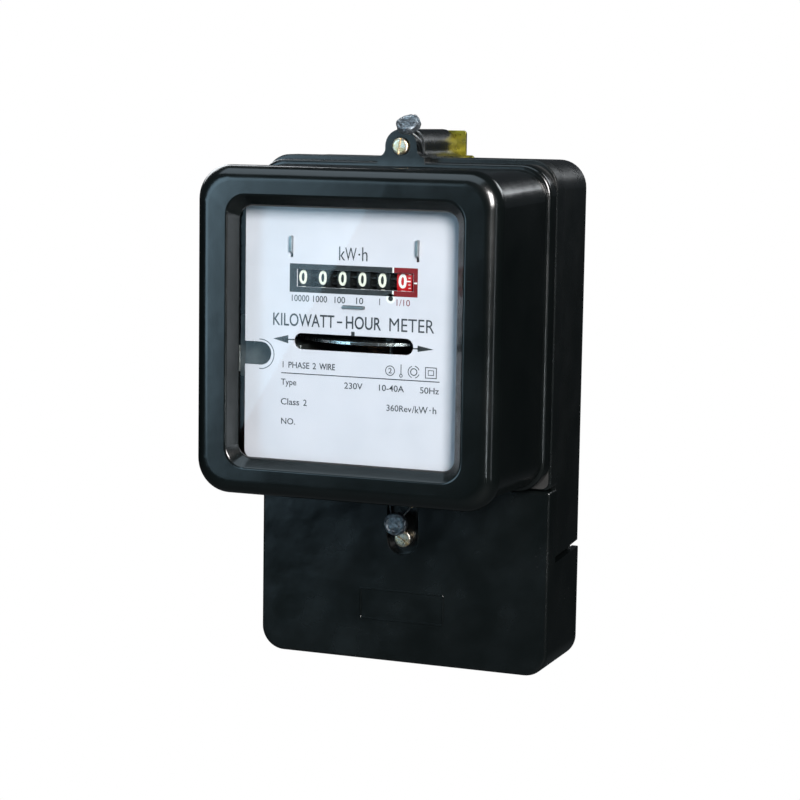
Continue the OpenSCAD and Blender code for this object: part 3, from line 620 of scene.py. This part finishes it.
def stamped_band():
    """A very thin sleeve round a drum, which the figures are cut from."""
    band = sleeve(DRUM_R + 0.05, 6)
    worked(band, sleeve(DRUM_R - 0.1, 6.6), "DIFFERENCE")
    return band


def turned(shape, degrees):
    """Turns a shape about the drums' shaft, the front going down."""
    shape.matrix_world = about(place(0, DRUM_OUT, DRUM_H), degrees, "X")
    only(shape)
    bpy.ops.object.transform_apply()


figures = []
for number in range(10):
    half = FIGURE_W / 2 * (0.5 if number == 1 else 1)
    figure = lettered(str(number), (-half, half),
                      (DRUM_H - FIGURE_TALL / 2, DRUM_H + FIGURE_TALL / 2), 92, 12, 0.03)
    worked(figure, stamped_band(), "INTERSECT")
    turned(figure, number * FIGURE_TURN + FIRST_TURN)
    figures.append(figure)
figure_ring = joined("figure_ring", figures)
cream_ink = finish("cream_ink", (0.86, 0.83, 0.72), (0.76, 0.73, 0.62), 1.2, (0.4, 0.6),
                   grain=(0.3, 0.01))
white_ink = finish("white_ink", (0.88, 0.87, 0.85), (0.8, 0.79, 0.77), 1.2, (0.4, 0.6),
                   grain=(0.3, 0.01))
for i, body in enumerate(("tenths",) + black_drums):
    ring = figure_ring.copy()
    ring.data = figure_ring.data.copy()
    ring.name = f"{body}_figures"
    bpy.context.scene.collection.objects.link(ring)
    shift = TENTHS_X - 0.5 if body == "tenths" else TENTHS_X - i * DRUM_PITCH - 0.55
    ring.location = (shift * MM, 0, 0)
    only(ring)
    bpy.ops.object.transform_apply()
    if body == "tenths":
        fitted(ring, white_ink, body, "drum_red")
    else:
        fitted(ring, cream_ink, body, "drum_black")
bpy.data.objects.remove(figure_ring)

TICKS = 50
TICKS_PER_FIGURE = 5
tick_at = place(TENTHS_X + 2.45, DRUM_OUT + DRUM_R, DRUM_H)
bpy.ops.mesh.primitive_cube_add(size=1, location=tick_at)
short_tick = bpy.context.object
short_tick.scale = (1.0 * MM, 0.08 * MM, 0.28 * MM)
bpy.ops.object.transform_apply()
bpy.ops.mesh.primitive_cube_add(size=1, location=tick_at - Vector((0.3 * MM, 0, 0)))
long_tick = bpy.context.object
long_tick.scale = (1.7 * MM, 0.08 * MM, 0.5 * MM)
bpy.ops.object.transform_apply()
ticks = []
for i in range(TICKS):
    pattern = short_tick if i % TICKS_PER_FIGURE else long_tick
    tick = pattern.copy()
    tick.data = pattern.data.copy()
    bpy.context.scene.collection.objects.link(tick)
    turned(tick, i * 360 / TICKS + FIRST_TURN)
    ticks.append(tick)
bpy.data.objects.remove(short_tick)
bpy.data.objects.remove(long_tick)
fitted(joined("tenths_scale", ticks), white_ink, "tenths", "drum_red")

# ---- Nameplate ---------------------------------------------------------------------
# A thin aluminium plate, silver-anodised, with openings for the drums, the disc and the
# magnet. Its legends and lines are screen-printed in grey, black and red.
PLATE_OUT = 100
INK = 0.02
SUNK = 0.01
anodised = finish("anodised_plate", (0.70, 0.65, 0.715), (0.65, 0.61, 0.675), 22,
                  (0.4, 0.56), metal=0.12, grain=(0.25, 0.006), relief=(30, 0.05))
refined("nameplate", 0.1, anodised, "nameplate_silver")


def words(text, x, h, weight=0.0):
    """A printed legend. Weight thickens its strokes."""
    return lettered(text, x, h, PLATE_OUT, INK, weight)


def bar(x, h):
    """A printed straight bar."""
    return brick(x, (PLATE_OUT - SUNK, PLATE_OUT + INK), h)


def loop(x, h, outer, inner, low=0, high=360, sides=40):
    """A printed ring, or a stretch of one, between two angles from the right."""
    centre = place(x, PLATE_OUT + INK / 2, h)
    start = centre + Vector(((outer + inner) / 2 * MM, 0, 0))
    bpy.ops.mesh.primitive_plane_add(size=1, location=start)
    piece = bpy.context.object
    piece.scale = ((outer - inner) * MM, INK * MM, 1)
    bpy.ops.object.transform_apply()
    bpy.ops.object.mode_set(mode="EDIT")
    bpy.ops.mesh.select_all(action="SELECT")
    bpy.ops.mesh.spin(steps=sides, angle=math.radians(low - high), center=centre,
                      axis=(0, -1, 0))
    closed_up(0.001)
    piece.matrix_world = about(centre, -low, "Y")
    bpy.ops.object.transform_apply()
    return piece


def dot(x, h, r):
    """A printed dot."""
    return rod(x, h, r, PLATE_OUT - SUNK, PLATE_OUT + INK, 32)


def outline(x, h, line):
    """A printed empty rectangle."""
    return [bar(x, (h[0], h[0] + line)), bar(x, (h[1] - line, h[1])),
            bar((x[0], x[0] + line), h), bar((x[1] - line, x[1]), h)]


def pointer(tip, back, h, tall):
    """A printed arrowhead: a bar narrowed to a point at one end."""
    piece = bar(sorted((tip, back)), (h - tall / 2, h + tall / 2))
    only(piece)
    bpy.ops.object.mode_set(mode="EDIT")
    pick(piece, "VERT", lambda v: abs(v.co.x - tip * MM) < 0.01 * MM)
    bpy.ops.transform.resize(value=(1, 1, 0.04), center_override=place(tip, PLATE_OUT, h))
    bpy.ops.object.mode_set(mode="OBJECT")
    return piece


ink_grey = finish("grey_ink", (0.022, 0.026, 0.034), (0.034, 0.038, 0.048), 2, (0.4, 0.6),
                  grain=(0.2, 0.004))
ink_red = finish("red_ink", (0.2, 0.0015, 0.005), (0.175, 0.0013, 0.0045), 2, (0.4, 0.6),
                 grain=(0.2, 0.004))
UNIT_ROW = (179.0, 184.6)
TITLE_ROW = (151.2, 156.5)
PHASE_ROW = (133.9, 136.5)
TYPE_ROW = (126.7, 129.3)
grey_print = [words(text, (left, right), row, weight) for text, left, right, row, weight in (
    ("k", -7.2, -4.5, UNIT_ROW, 0),
    ("W", -4.5, 0.5, (179.0, 184.3), 0),
    ("h", 2.9, 5.3, UNIT_ROW, 0),
    ("KILOWATT", -36.3, -8.9, TITLE_ROW, 0.008),
    ("HOUR", -3.8, 11.6, TITLE_ROW, 0.012),
    ("METER", 15.2, 34.6, TITLE_ROW, 0),
    ("1", -31.8, -31.45, PHASE_ROW, 0),
    ("PHASE", -29.2, -19.8, PHASE_ROW, 0.01),
    ("2", -18.4, -16.8, PHASE_ROW, 0.01),
    ("WIRE", -15.4, -8.4, PHASE_ROW, 0.02),
    ("2", 15.1, 16.6, (134.1, 136.3), 0.01),
    ("Type", -32.5, -25.6, (125.9, 129.3), 0.008),
    ("230V", -4.2, 3.9, TYPE_ROW, 0.008),
    ("10-40A", 11.1, 22.0, TYPE_ROW, 0.008),
    ("50Hz", 28.9, 37.1, TYPE_ROW, 0.008),
    ("Class", -32.5, -24.2, (118.5, 121.2), 0.008),
    ("2", -22.4, -20.8, (118.5, 121.1), 0.008),
    ("360Rev", 14.5, 25.4, (118.7, 121.3), 0.008),
    ("/kW", 25.6, 32.4, (118.5, 121.4), 0.008),
    ("h", 34.5, 36.1, (118.7, 121.4), 0.01),
    ("NO.", -32.3, -26, (110.4, 113.0), 0.008),
)]
grey_print += [
    dot(1.7, 181.6, 0.42), dot(33.4, 120.0, 0.3),
    bar((-7.8, -5.4), (153.4, 154.1)), bar((-32.4, 37.3), (131.5, 131.9)),
    loop(15.8, 135.2, 2.1, 1.75),
    bar((20.4, 20.75), (133.9, 138.0)), loop(20.58, 133.4, 0.75, 0.42, sides=20),
    loop(26.1, 135.2, 1.55, 1.15), loop(26.1, 135.2, 2.6, 2.25, 20, 80, 12),
    loop(26.1, 135.2, 2.6, 2.25, 110, 250, 24), loop(26.1, 135.2, 2.6, 2.25, 285, 340, 12),
    *outline((31, 36), (132.9, 137.5), 0.35), *outline((32.2, 34.8), (134.1, 136.3), 0.3),
    loop(-41.9, 139.0, 6.3, 5.95, -95, 95),
]
label_lines = ("10000", "1000", "100", "10", "1")
for i, label in enumerate(label_lines):
    centre = TENTHS_X - (len(label_lines) - i) * DRUM_PITCH - 1.0
    half = 0.78 * len(label)
    narrow = 0.17 if label == "1" else half
    grey_print.append(words(label, (centre - narrow, centre + narrow), (161.5, 164.2), 0.008))
fitted(joined("grey_printing", grey_print), ink_grey, "case", "nameplate_silver")

ABOVE_DRUMS = (174.85, 177.0)
BESIDE_DRUMS = (167.55, 174.85)
BELOW_DRUMS = (165.3, 167.55)
black_print = [
    bar((-29, 16.2), ABOVE_DRUMS), bar((-29, 16.2), BELOW_DRUMS),
    bar((-29, -25.75), BESIDE_DRUMS),
    dot(15.6, 164.4, 1.05), bar((-1.4, 0.1), (148.5, 150.2)),
    pointer(-36, -29.4, 145.7, 3.4), bar((-30.5, -26.6), (145.4, 145.9)),
    pointer(34.3, 27.6, 144.7, 2.6), bar((25.6, 28.6), (144.4, 144.95)),
]
fitted(joined("black_printing", black_print), ink_black, "case", "nameplate_silver")
red_print = [
    bar((16.9, 27.2), ABOVE_DRUMS), bar((16.9, 27.2), BELOW_DRUMS),
    bar((25.4, 27.2), BESIDE_DRUMS),
    words("1/10", (18.2, 24.0), (161.6, 164.2)),
]
fitted(joined("red_printing", red_print), ink_red, "case", "nameplate_silver")
white_print = [
    bar((16.2, 16.9), ABOVE_DRUMS), bar((16.2, 16.9), BELOW_DRUMS),
    loop(15.6, 164.4, 2.0, 1.05),
    brick((25.6, 27.0), (PLATE_OUT + INK, PLATE_OUT + 2 * INK), (170.7, 171.3)),
]
fitted(joined("white_printing", white_print), white_ink, "case", "nameplate_silver")

# ---- Main cover --------------------------------------------------------------------
# The front half of the case, one deep phenolic moulding with a wide rolled frame round
# the window, a flange at its back and a lug at the top for the screw. It is polished.
cover_flange = [
    (66.4, 81.7, 217.8, 12.6, 12.6, 43.6),
    (66.75, 81.35, 218.15, 12.9, 12.9, 43.75),
    (66.9, 81.2, 218.3, 13, 13, 44.1),
    (66.9, 81.2, 218.3, 13, 13, 50.3),
    (66.7, 81.35, 218.1, 13, 13, 50.95),
    (66.3, 81.6, 217.7, 13, 13, 51.35),
    (65.9, 81.9, 217.2, 13, 13, 51.5),
]
cover_wall = [
    (65.62, 82.3, 216.35, 13, 13, 51.6),
    (65.46, 82.45, 216.15, 13, 13, 51.9),
    (64.75, 82.9, 215.5, 13, 13, 78),
    (64.0, 83.4, 214.8, 13, 13, 104.1),
]
cover_cove = []
for degrees in (25, 45, 65, 80):
    curl = 1 - math.cos(math.radians(degrees))
    cover_cove.append((64 + 2.2 * curl, 83.4 - 2 * curl, 214.8 + 2.1 * curl, 13.4, 13.4,
                       104.1 + 2.6 * math.sin(math.radians(degrees))))
cover_edge = (66.05, 81.4, 216.9, 14, 14, 107.3)
cover_front = rolled(cover_edge, 6.6, 6.2, 9)
cover_window = [
    (52.2, 92.3, 205.6, 9, 9, 113.5),
    (51.5, 93.0, 204.9, 8.7, 8.7, 113.35),
    (51.05, 93.45, 204.45, 8.5, 8.5, 112.9),
    (47.6, 96.4, 201.0, 6, 6, 109.3),
    (47.45, 96.55, 200.85, 6, 6, 109.0),
]
cover_inside = [
    (61.4, 86, 212.2, 10, 10, 109.0),
    (61.4, 86, 212.2, 10, 10, 43.6),
]
cover = moulded("cover_moulding", cover_flange + cover_wall + cover_cove + [
    (66.0, 81.45, 216.85, 14, 14, 106.7), cover_edge] + cover_front + cover_window
    + cover_inside, closed=True, segments=14)
worked(cover, lug(43.6, 51.5), "UNION")
for x in (-58.4, 58.4):
    for h in (112, 186):
        worked(cover, brick((x - 3.8, x + 3.8), (105.7, 109.5), (h - 5, h + 5)), "UNION")
worked(cover, rod(0, SCREW_H, 4, 50.3, 53), "DIFFERENCE")
worked(cover, rod(0, SCREW_H, 2.3, 40, 53), "DIFFERENCE")
eased(cover, 0.3)
gloss_phenolic = finish("phenolic_gloss", (0.0019, 0.0030, 0.0030), (0.0030, 0.0043, 0.0043),
                        42, (0.15, 0.24), grain=(0.5, 0.006), relief=(30, 0.3), coat=0.15)
fitted(cover, gloss_phenolic, "front_cover", "phenolic_black", "main_cover")

# ---- Window ------------------------------------------------------------------------
# A pane of plain float glass with ground edges, bedded on a rubber strip behind the
# window and held by four steel clips.
rubber = finish("seal_rubber", (0.014, 0.0145, 0.0145), (0.024, 0.024, 0.024), 4,
                (0.55, 0.75), grain=(0.4, 0.03))
dress(rubber, "cover_gasket", "window_gasket")
pane = moulded("window_pane", [
    (53.7, 90.3, 207.3, 5.7, 5.7, 105.7), (54, 90, 207.6, 6, 6, 106.0),
    (54, 90, 207.6, 6, 6, 107.9), (53.7, 90.3, 207.3, 5.7, 5.7, 108.2)])
bpy.ops.object.shade_smooth_by_angle(angle=math.radians(30))
clear = bpy.data.materials.new("clear_glass")
clear.use_nodes = True
clear_nodes, clear_links = clear.node_tree.nodes, clear.node_tree.links
clear_nodes.remove(clear_nodes["Principled BSDF"])
through = clear_nodes.new("ShaderNodeBsdfTransparent")
through.inputs["Color"].default_value = (0.955, 0.985, 0.98, 1)
shine = clear_nodes.new("ShaderNodeBsdfGlossy")
shine.inputs["Roughness"].default_value = 0.02
shine.inputs["Color"].default_value = (0.9, 0.96, 1, 1)
facing = clear_nodes.new("ShaderNodeLayerWeight")
facing.inputs["Blend"].default_value = 0.5
steep = clear_nodes.new("ShaderNodeMath")
steep.operation = "POWER"
steep.inputs[1].default_value = 5
share = clear_nodes.new("ShaderNodeMath")
share.operation = "MULTIPLY_ADD"
share.inputs[1].default_value = 0.9
share.inputs[2].default_value = 0.034
blend = clear_nodes.new("ShaderNodeMixShader")
clear_links.new(facing.outputs["Facing"], steep.inputs[0])
clear_links.new(steep.outputs[0], share.inputs[0])
clear_links.new(share.outputs[0], blend.inputs[0])
clear_links.new(through.outputs[0], blend.inputs[1])
clear_links.new(shine.outputs[0], blend.inputs[2])
clear_links.new(blend.outputs[0], clear_nodes["Material Output"].inputs["Surface"])
fitted(pane, clear, "front_cover", "glass", "window_glass")
ground_edge = finish("ground_glass_edge", (0.35, 0.52, 0.42), (0.25, 0.42, 0.34), 4,
                     (0.3, 0.5), grain=(0.3, 0.02))
pane.data.materials.append(ground_edge)
only(pane)
bpy.ops.object.mode_set(mode="EDIT")
pick(pane, "FACE", lambda f: abs(f.normal.y) < 0.9)
pane.active_material_index = 1
bpy.ops.object.material_slot_assign()
bpy.ops.object.mode_set(mode="OBJECT")

# ---- Cover screws ------------------------------------------------------------------
# Cheese-head screws, turned from brass and nickelled, with a sawn slot and a slightly
# domed head. The heads are rubbed back to the brass along the slot.


def screw(name, x, h, head_r, head, tip, shank_r, slot_turn):
    """A slotted screw: head is where the head starts and ends, out from the wall."""
    middle = place(x, head[1], h)
    piece = rod(x, h, head_r, *head, 64)
    only(piece)
    bpy.ops.object.mode_set(mode="EDIT")
    pick(piece, "FACE", lambda f: f.normal.y < -0.9)
    bpy.ops.mesh.inset(thickness=head_r * 0.32 * MM)
    bpy.ops.mesh.inset(thickness=head_r * 0.3 * MM)
    pick(piece, "EDGE", lambda e: all(
        v.co.y < -(head[1] - 0.01) * MM and (v.co - middle).length > head_r * 0.98 * MM
        for v in e.verts))
    bpy.ops.transform.translate(value=(0, 0.35 * MM, 0))
    closed_up()
    reach = head_r + 1
    slot = brick((x - 0.45, x + 0.45), (head[1] - 1.2, head[1] + 1), (h - reach, h + reach))
    slot.matrix_world = about(middle, slot_turn, "Y")
    worked(piece, slot, "DIFFERENCE")
    worked(piece, rod(x, h, shank_r, tip, head[0] + 0.5, 32), "UNION")
    piece.name = name
    eased(piece, 0.18)
    return piece


worn_nickel = finish("worn_nickel", (0.80, 0.77, 0.68), (0.74, 0.56, 0.3), 2.2, (0.2, 0.42),
                     metal=1, grain=(0.25, 0.02), brush=(1, 1, 5))
fitted(screw("cover_screw_turned", 0, SCREW_H, 3.5, (50.3, 53.3), 36, 1.9, 10),
       worn_nickel, "front_cover", "nickel_brass", "cover_screw")
fitted(screw("terminal_cover_screw_turned", 0, LOW_SCREW_H, 3.6, (39.2, 42.9), 26, 1.9, -60),
       worn_nickel, "lower_cover", "nickel_brass", "terminal_cover_screw")

# ---- Seals -------------------------------------------------------------------------
# Lead seals, each pressed flat on two ends of a twisted wire with a sealing tool, which
# leaves a round dent and a lumpy rim. The wire runs through the screw and the lug.


def lead_seal(name, x, out, h, r, thick, tilt):
    """A pressed lead disc, tilted back, with a dent in its face and an uneven rim."""
    centre = place(x, out, h)
    seal = upright(centre, r, thick, 48)
    seal.name = name
    bpy.ops.object.mode_set(mode="EDIT")
    for side in (-1, 1):
        pick(seal, "FACE", lambda f: f.normal.z * side > 0.9)
        bpy.ops.mesh.inset(thickness=r * 0.2 * MM)
        bpy.ops.mesh.inset(thickness=r * 0.14 * MM)
        bpy.ops.transform.translate(value=(0, 0, -side * 0.5 * MM))
        bpy.ops.mesh.inset(thickness=r * 0.3 * MM)
        bpy.ops.transform.translate(value=(0, 0, side * 0.12 * MM))
    pick(seal, "EDGE", lambda e: all(
        abs(v.co.z - centre.z) > (thick / 2 - 0.01) * MM
        and (v.co.xy - centre.xy).length > (r - 0.01) * MM for v in e.verts))
    bpy.ops.mesh.bevel(offset=0.9 * MM, segments=3)
    bpy.ops.mesh.select_all(action="SELECT")
    bpy.ops.mesh.subdivide(number_cuts=1)
    bpy.ops.mesh.select_all(action="DESELECT")
    bpy.ops.object.mode_set(mode="OBJECT")
    lumps = bpy.data.textures.new(name + "_lumps", "CLOUDS")
    lumps.noise_scale = 2.2 * MM
    uneven = seal.modifiers.new("lumps", "DISPLACE")
    uneven.texture = lumps
    uneven.texture_coords = "LOCAL"
    uneven.strength = 0.9 * MM
    uneven.mid_level = 0.62
    only(seal)
    bpy.ops.object.modifier_apply(modifier="lumps")
    seal.matrix_world = about(centre, 90 - tilt, "X")
    bpy.ops.object.transform_apply()
    bpy.ops.object.shade_smooth_by_angle(angle=math.radians(50))
    return seal


def strand(name, points, r):
    """A soft wire through a few points."""
    bpy.ops.curve.primitive_nurbs_path_add()
    path = bpy.context.object
    path.name = name
    path.data.splines.clear()
    spline = path.data.splines.new("NURBS")
    spline.points.add(len(points) - 1)
    for knot, (x, out, h) in zip(spline.points, points):
        knot.co = (*place(x, out, h), 1)
    spline.use_endpoint_u = True
    spline.order_u = 3
    path.data.resolution_u = 8
    path.data.bevel_depth = r * MM
    path.data.bevel_resolution = 3
    path.data.use_fill_caps = True
    bpy.ops.object.convert(target="MESH")
    wire = bpy.context.object
    bpy.ops.object.mode_set(mode="EDIT")
    closed_up(0.001)
    bpy.ops.object.shade_smooth()
    return wire


lead = finish("lead_alloy", (0.27, 0.31, 0.34), (0.12, 0.14, 0.16), 1.6, (0.22, 0.5),
              metal=0.85, grain=(0.5, 0.12), relief=(1.5, 0.6))
seal_wire = finish("seal_wire", (0.55, 0.58, 0.6), (0.35, 0.37, 0.39), 1.5, (0.3, 0.5), metal=1,
                   grain=(0.3, 0.02))
SEAL_R = 5.0
SEAL_THICK = 3.7
WIRE_R = 0.33
for seal, body, spot, tilt, strands in (
        ("upper", "front_cover", (4.5, 54.6, 233.97), 52, (
            [(5.6, 52.8, 232.6), (7.6, 51.2, 231.2), (8.6, 48.6, 228.6), (8.4, 46, 225.6),
             (7.8, 44.6, 222.6)],
            [(3.4, 53.4, 232), (6.4, 52.8, 230), (8.3, 50.4, 227.4), (8.3, 47.6, 224.6),
             (7.8, 45.2, 221.8)])),
        ("lower", "lower_cover", (-1.7, 46.2, 62.1), 0, (
            [(-3.8, 46.2, 65.4), (-5.2, 44.6, 68.4), (-6.0, 42.4, 72), (-6.2, 41.2, 76)],
            [(1.2, 46.2, 65.4), (3.2, 44.4, 68), (4.6, 42.2, 71), (5.4, 41.2, 74)]))):
    fitted(lead_seal(f"{seal}_lead", *spot, SEAL_R, SEAL_THICK, tilt), lead, body,
           "lead_alloy", f"{seal}_seal")
    for i, points in enumerate(strands, 1):
        fitted(strand(f"{seal}_wire_{i}", points, WIRE_R), seal_wire, body, "lead_alloy")

# ---- Terminal cover ----------------------------------------------------------------
# A phenolic cap over the terminals, with a pocket for its screw, a skirt that reaches
# the wall, four wire ways in its lower edge and a plain raised frame for a label.
lower = moulded("terminal_cover_moulding", [
    (66.4, 0.5, 80.6, 9.8, 1, 0.0),
    (66.9, 0.0, 80.6, 10.3, 1, 0.6),
    (66.9, 0.0, 80.6, 10.3, 1, 41.2),
] + rolled((66.9, 0.0, 80.6, 10.3, 1, 41.2), 1.5, 1.5, 5), segments=14)
worked(lower, moulded("cap_hollow", [
    (63.9, 3, 95, 7.3, 1, -1), (63.9, 3, 95, 7.3, 1, 39.0), (63.2, 3.7, 94, 6.8, 1, 39.7)]),
    "DIFFERENCE")
above = brick((-70, 70), (-1, 33.8), (50.4, 90))
nudged(above, lambda v: v.co.y < -30 * MM and v.co.z < -50 * MM, -1.8)
worked(lower, above, "DIFFERENCE")
worked(lower, brick((-11, 11), (36, 41.7), (45, 80.6)), "UNION")
label_frame = moulded("label_frame", [
    (19.7, 18, 32, 1, 1, 42.2), (19.7, 18, 32, 1, 1, 42.9), (19.5, 18.2, 31.8, 1, 1, 43.1),
    (19.1, 18.6, 31.4, 0.8, 0.8, 43.1), (18.9, 18.8, 31.2, 0.7, 0.7, 42.9),
    (18.9, 18.8, 31.2, 0.7, 0.7, 42.2)], closed=True, segments=5)
worked(lower, label_frame, "UNION")
worked(lower, moulded("screw_pocket", [
    (7, 48.2, 90, 6.9, 0.5, 39.2), (7, 48.2, 90, 6.9, 0.5, 42.3), (7.5, 47.7, 90, 7.4, 0.5, 43.0),
    (7.5, 47.7, 90, 7.4, 0.5, 44)], segments=14), "DIFFERENCE")
worked(lower, rod(0, LOW_SCREW_H, 2.3, 30, 44), "DIFFERENCE")
WAY_R = 5
WAY_OUT = 16
for x in (-33, -11, 11, 33):
    worked(lower, brick((x - WAY_R, x + WAY_R), (-1, WAY_OUT), (-1, 4)), "DIFFERENCE")
    worked(lower, upright(place(x, WAY_OUT, 1), WAY_R, 6, 48), "DIFFERENCE")
eased(lower, 0.3)
dusty_phenolic = finish("phenolic_dusty", (0.0024, 0.0036, 0.0036), (0.0038, 0.0052, 0.0053), 36,
                        (0.17, 0.3), grain=(0.5, 0.008), relief=(22, 0.35), coat=0.1,
                        specks=0.035)
fitted(lower, dusty_phenolic, "lower_cover", "phenolic_black", "terminal_cover")

# ---- Studio ------------------------------------------------------------------------
# Not part of the meter: a pale floor, soft lamps and the camera.
bpy.ops.mesh.primitive_plane_add(size=30, location=(0, 6, -0.6))
floor = bpy.context.object
floor.name = "floor"
pale = bpy.data.materials.new("pale_floor")
pale.use_nodes = True
pale_nodes, pale_links = pale.node_tree.nodes, pale.node_tree.links
pale_shader = pale_nodes["Principled BSDF"]
pale_shader.inputs["Base Color"].default_value = (0.035, 0.04, 0.042, 1)
pale_shader.inputs["Roughness"].default_value = 0.7
paper = pale_nodes.new("ShaderNodeEmission")
paper.inputs["Strength"].default_value = 1.0
looked_at = pale_nodes.new("ShaderNodeLightPath")
pale_mix = pale_nodes.new("ShaderNodeMixShader")
pale_links.new(looked_at.outputs["Is Camera Ray"], pale_mix.inputs[0])
pale_links.new(pale_shader.outputs[0], pale_mix.inputs[1])
pale_links.new(paper.outputs[0], pale_mix.inputs[2])
pale_links.new(pale_mix.outputs[0], pale_nodes["Material Output"].inputs["Surface"])
floor.data.materials.append(pale)

world = bpy.data.worlds.new("studio")
bpy.context.scene.world = world
world.use_nodes = True
sky = world.node_tree
sky.nodes.clear()
seen = sky.nodes.new("ShaderNodeBackground")
seen.inputs["Color"].default_value = (1, 1, 1, 1)
seen.inputs["Strength"].default_value = 1.0
around = sky.nodes.new("ShaderNodeBackground")
around.inputs["Color"].default_value = (0.78, 0.88, 1, 1)
around.inputs["Strength"].default_value = 0.045
ray = sky.nodes.new("ShaderNodeLightPath")
either = sky.nodes.new("ShaderNodeMixShader")
sky_out = sky.nodes.new("ShaderNodeOutputWorld")
sky.links.new(ray.outputs["Is Camera Ray"], either.inputs[0])
sky.links.new(around.outputs[0], either.inputs[1])
sky.links.new(seen.outputs[0], either.inputs[2])
sky.links.new(either.outputs[0], sky_out.inputs["Surface"])


def lamp(name, at, towards, size, watts, colour, roll=0):
    """A soft rectangular lamp, turned about the way it looks by roll."""
    light = bpy.data.lights.new(name, "AREA")
    light.shape = "RECTANGLE"
    light.size, light.size_y = size
    light.energy = watts
    light.color = colour
    holder = bpy.data.objects.new(name, light)
    bpy.context.scene.collection.objects.link(holder)
    aim = (Vector(towards) - Vector(at)).to_track_quat("-Z", "Y").to_matrix().to_4x4()
    holder.matrix_world = (Matrix.Translation(at) @ aim
                           @ Matrix.Rotation(math.radians(roll), 4, "Z"))


lamp("left_card", (-0.68, -1.2, 0.14), (-0.2, -0.1, 0.0), (0.5, 0.8), 1.6, (0.55, 0.82, 1), -28.7)
lamp("far_card", (-0.82, -1.19, 0.17), (-0.2, -0.1, 0.0), (0.5, 0.7), 2.8, (0.52, 0.8, 1), -18)
lamp("front_right", (0.85, -1.25, 0.55), (0, -0.1, 0.02), (0.5, 0.6), 42, (1, 0.965, 0.95))
lamp("overhead", (-0.25, -0.6, 1.15), (0, -0.08, 0.02), (1.3, 0.9), 7, (0.72, 0.88, 1))
lamp("right_strip", (0.95, -0.55, 0.12), (0, -0.08, 0.02), (0.05, 0.7), 0.45, (0.85, 0.93, 1))
lamp("back_left", (-1.0, 0.7, 0.75), (0, -0.05, 0), (0.9, 0.7), 9, (0.93, 0.97, 1))
lamp("back_right", (0.8, 1.2, 0.8), (0, -0.05, 0), (0.8, 0.6), 7, (0.93, 0.97, 1))
lamp("low_strip", (0.545, -0.98, -0.01), (0.06, -0.11, 0.02), (0.012, 0.3), 0.09, (0.85, 0.95, 1))
lamp("low_card", (0.545, -0.98, -0.145), (0.06, -0.11, -0.02), (0.03, 0.07), 0.22, (0.85, 0.95, 1))

camera = bpy.data.objects.new("camera", bpy.data.cameras.new("camera"))
bpy.context.scene.collection.objects.link(camera)
yaw, pitch, roll = (math.radians(a) for a in (21.378, 7.165, 0.905))
ahead = Vector((-math.sin(yaw) * math.cos(pitch), math.cos(yaw) * math.cos(pitch),
                -math.sin(pitch)))
across = ahead.cross(Vector((0, 0, 1))).normalized()
upward = across.cross(ahead)
right = math.cos(roll) * across + math.sin(roll) * upward
top = -math.sin(roll) * across + math.cos(roll) * upward
camera.matrix_world = Matrix.Translation((0.35224, -0.94785, 0.11797)) @ Matrix(
    (right, top, -ahead)).transposed().to_4x4()
camera.data.lens = 102.1
camera.data.sensor_width = 36
camera.data.clip_start = 0.05
bpy.context.scene.camera = camera
bpy.context.scene.view_settings.view_transform = "Standard"
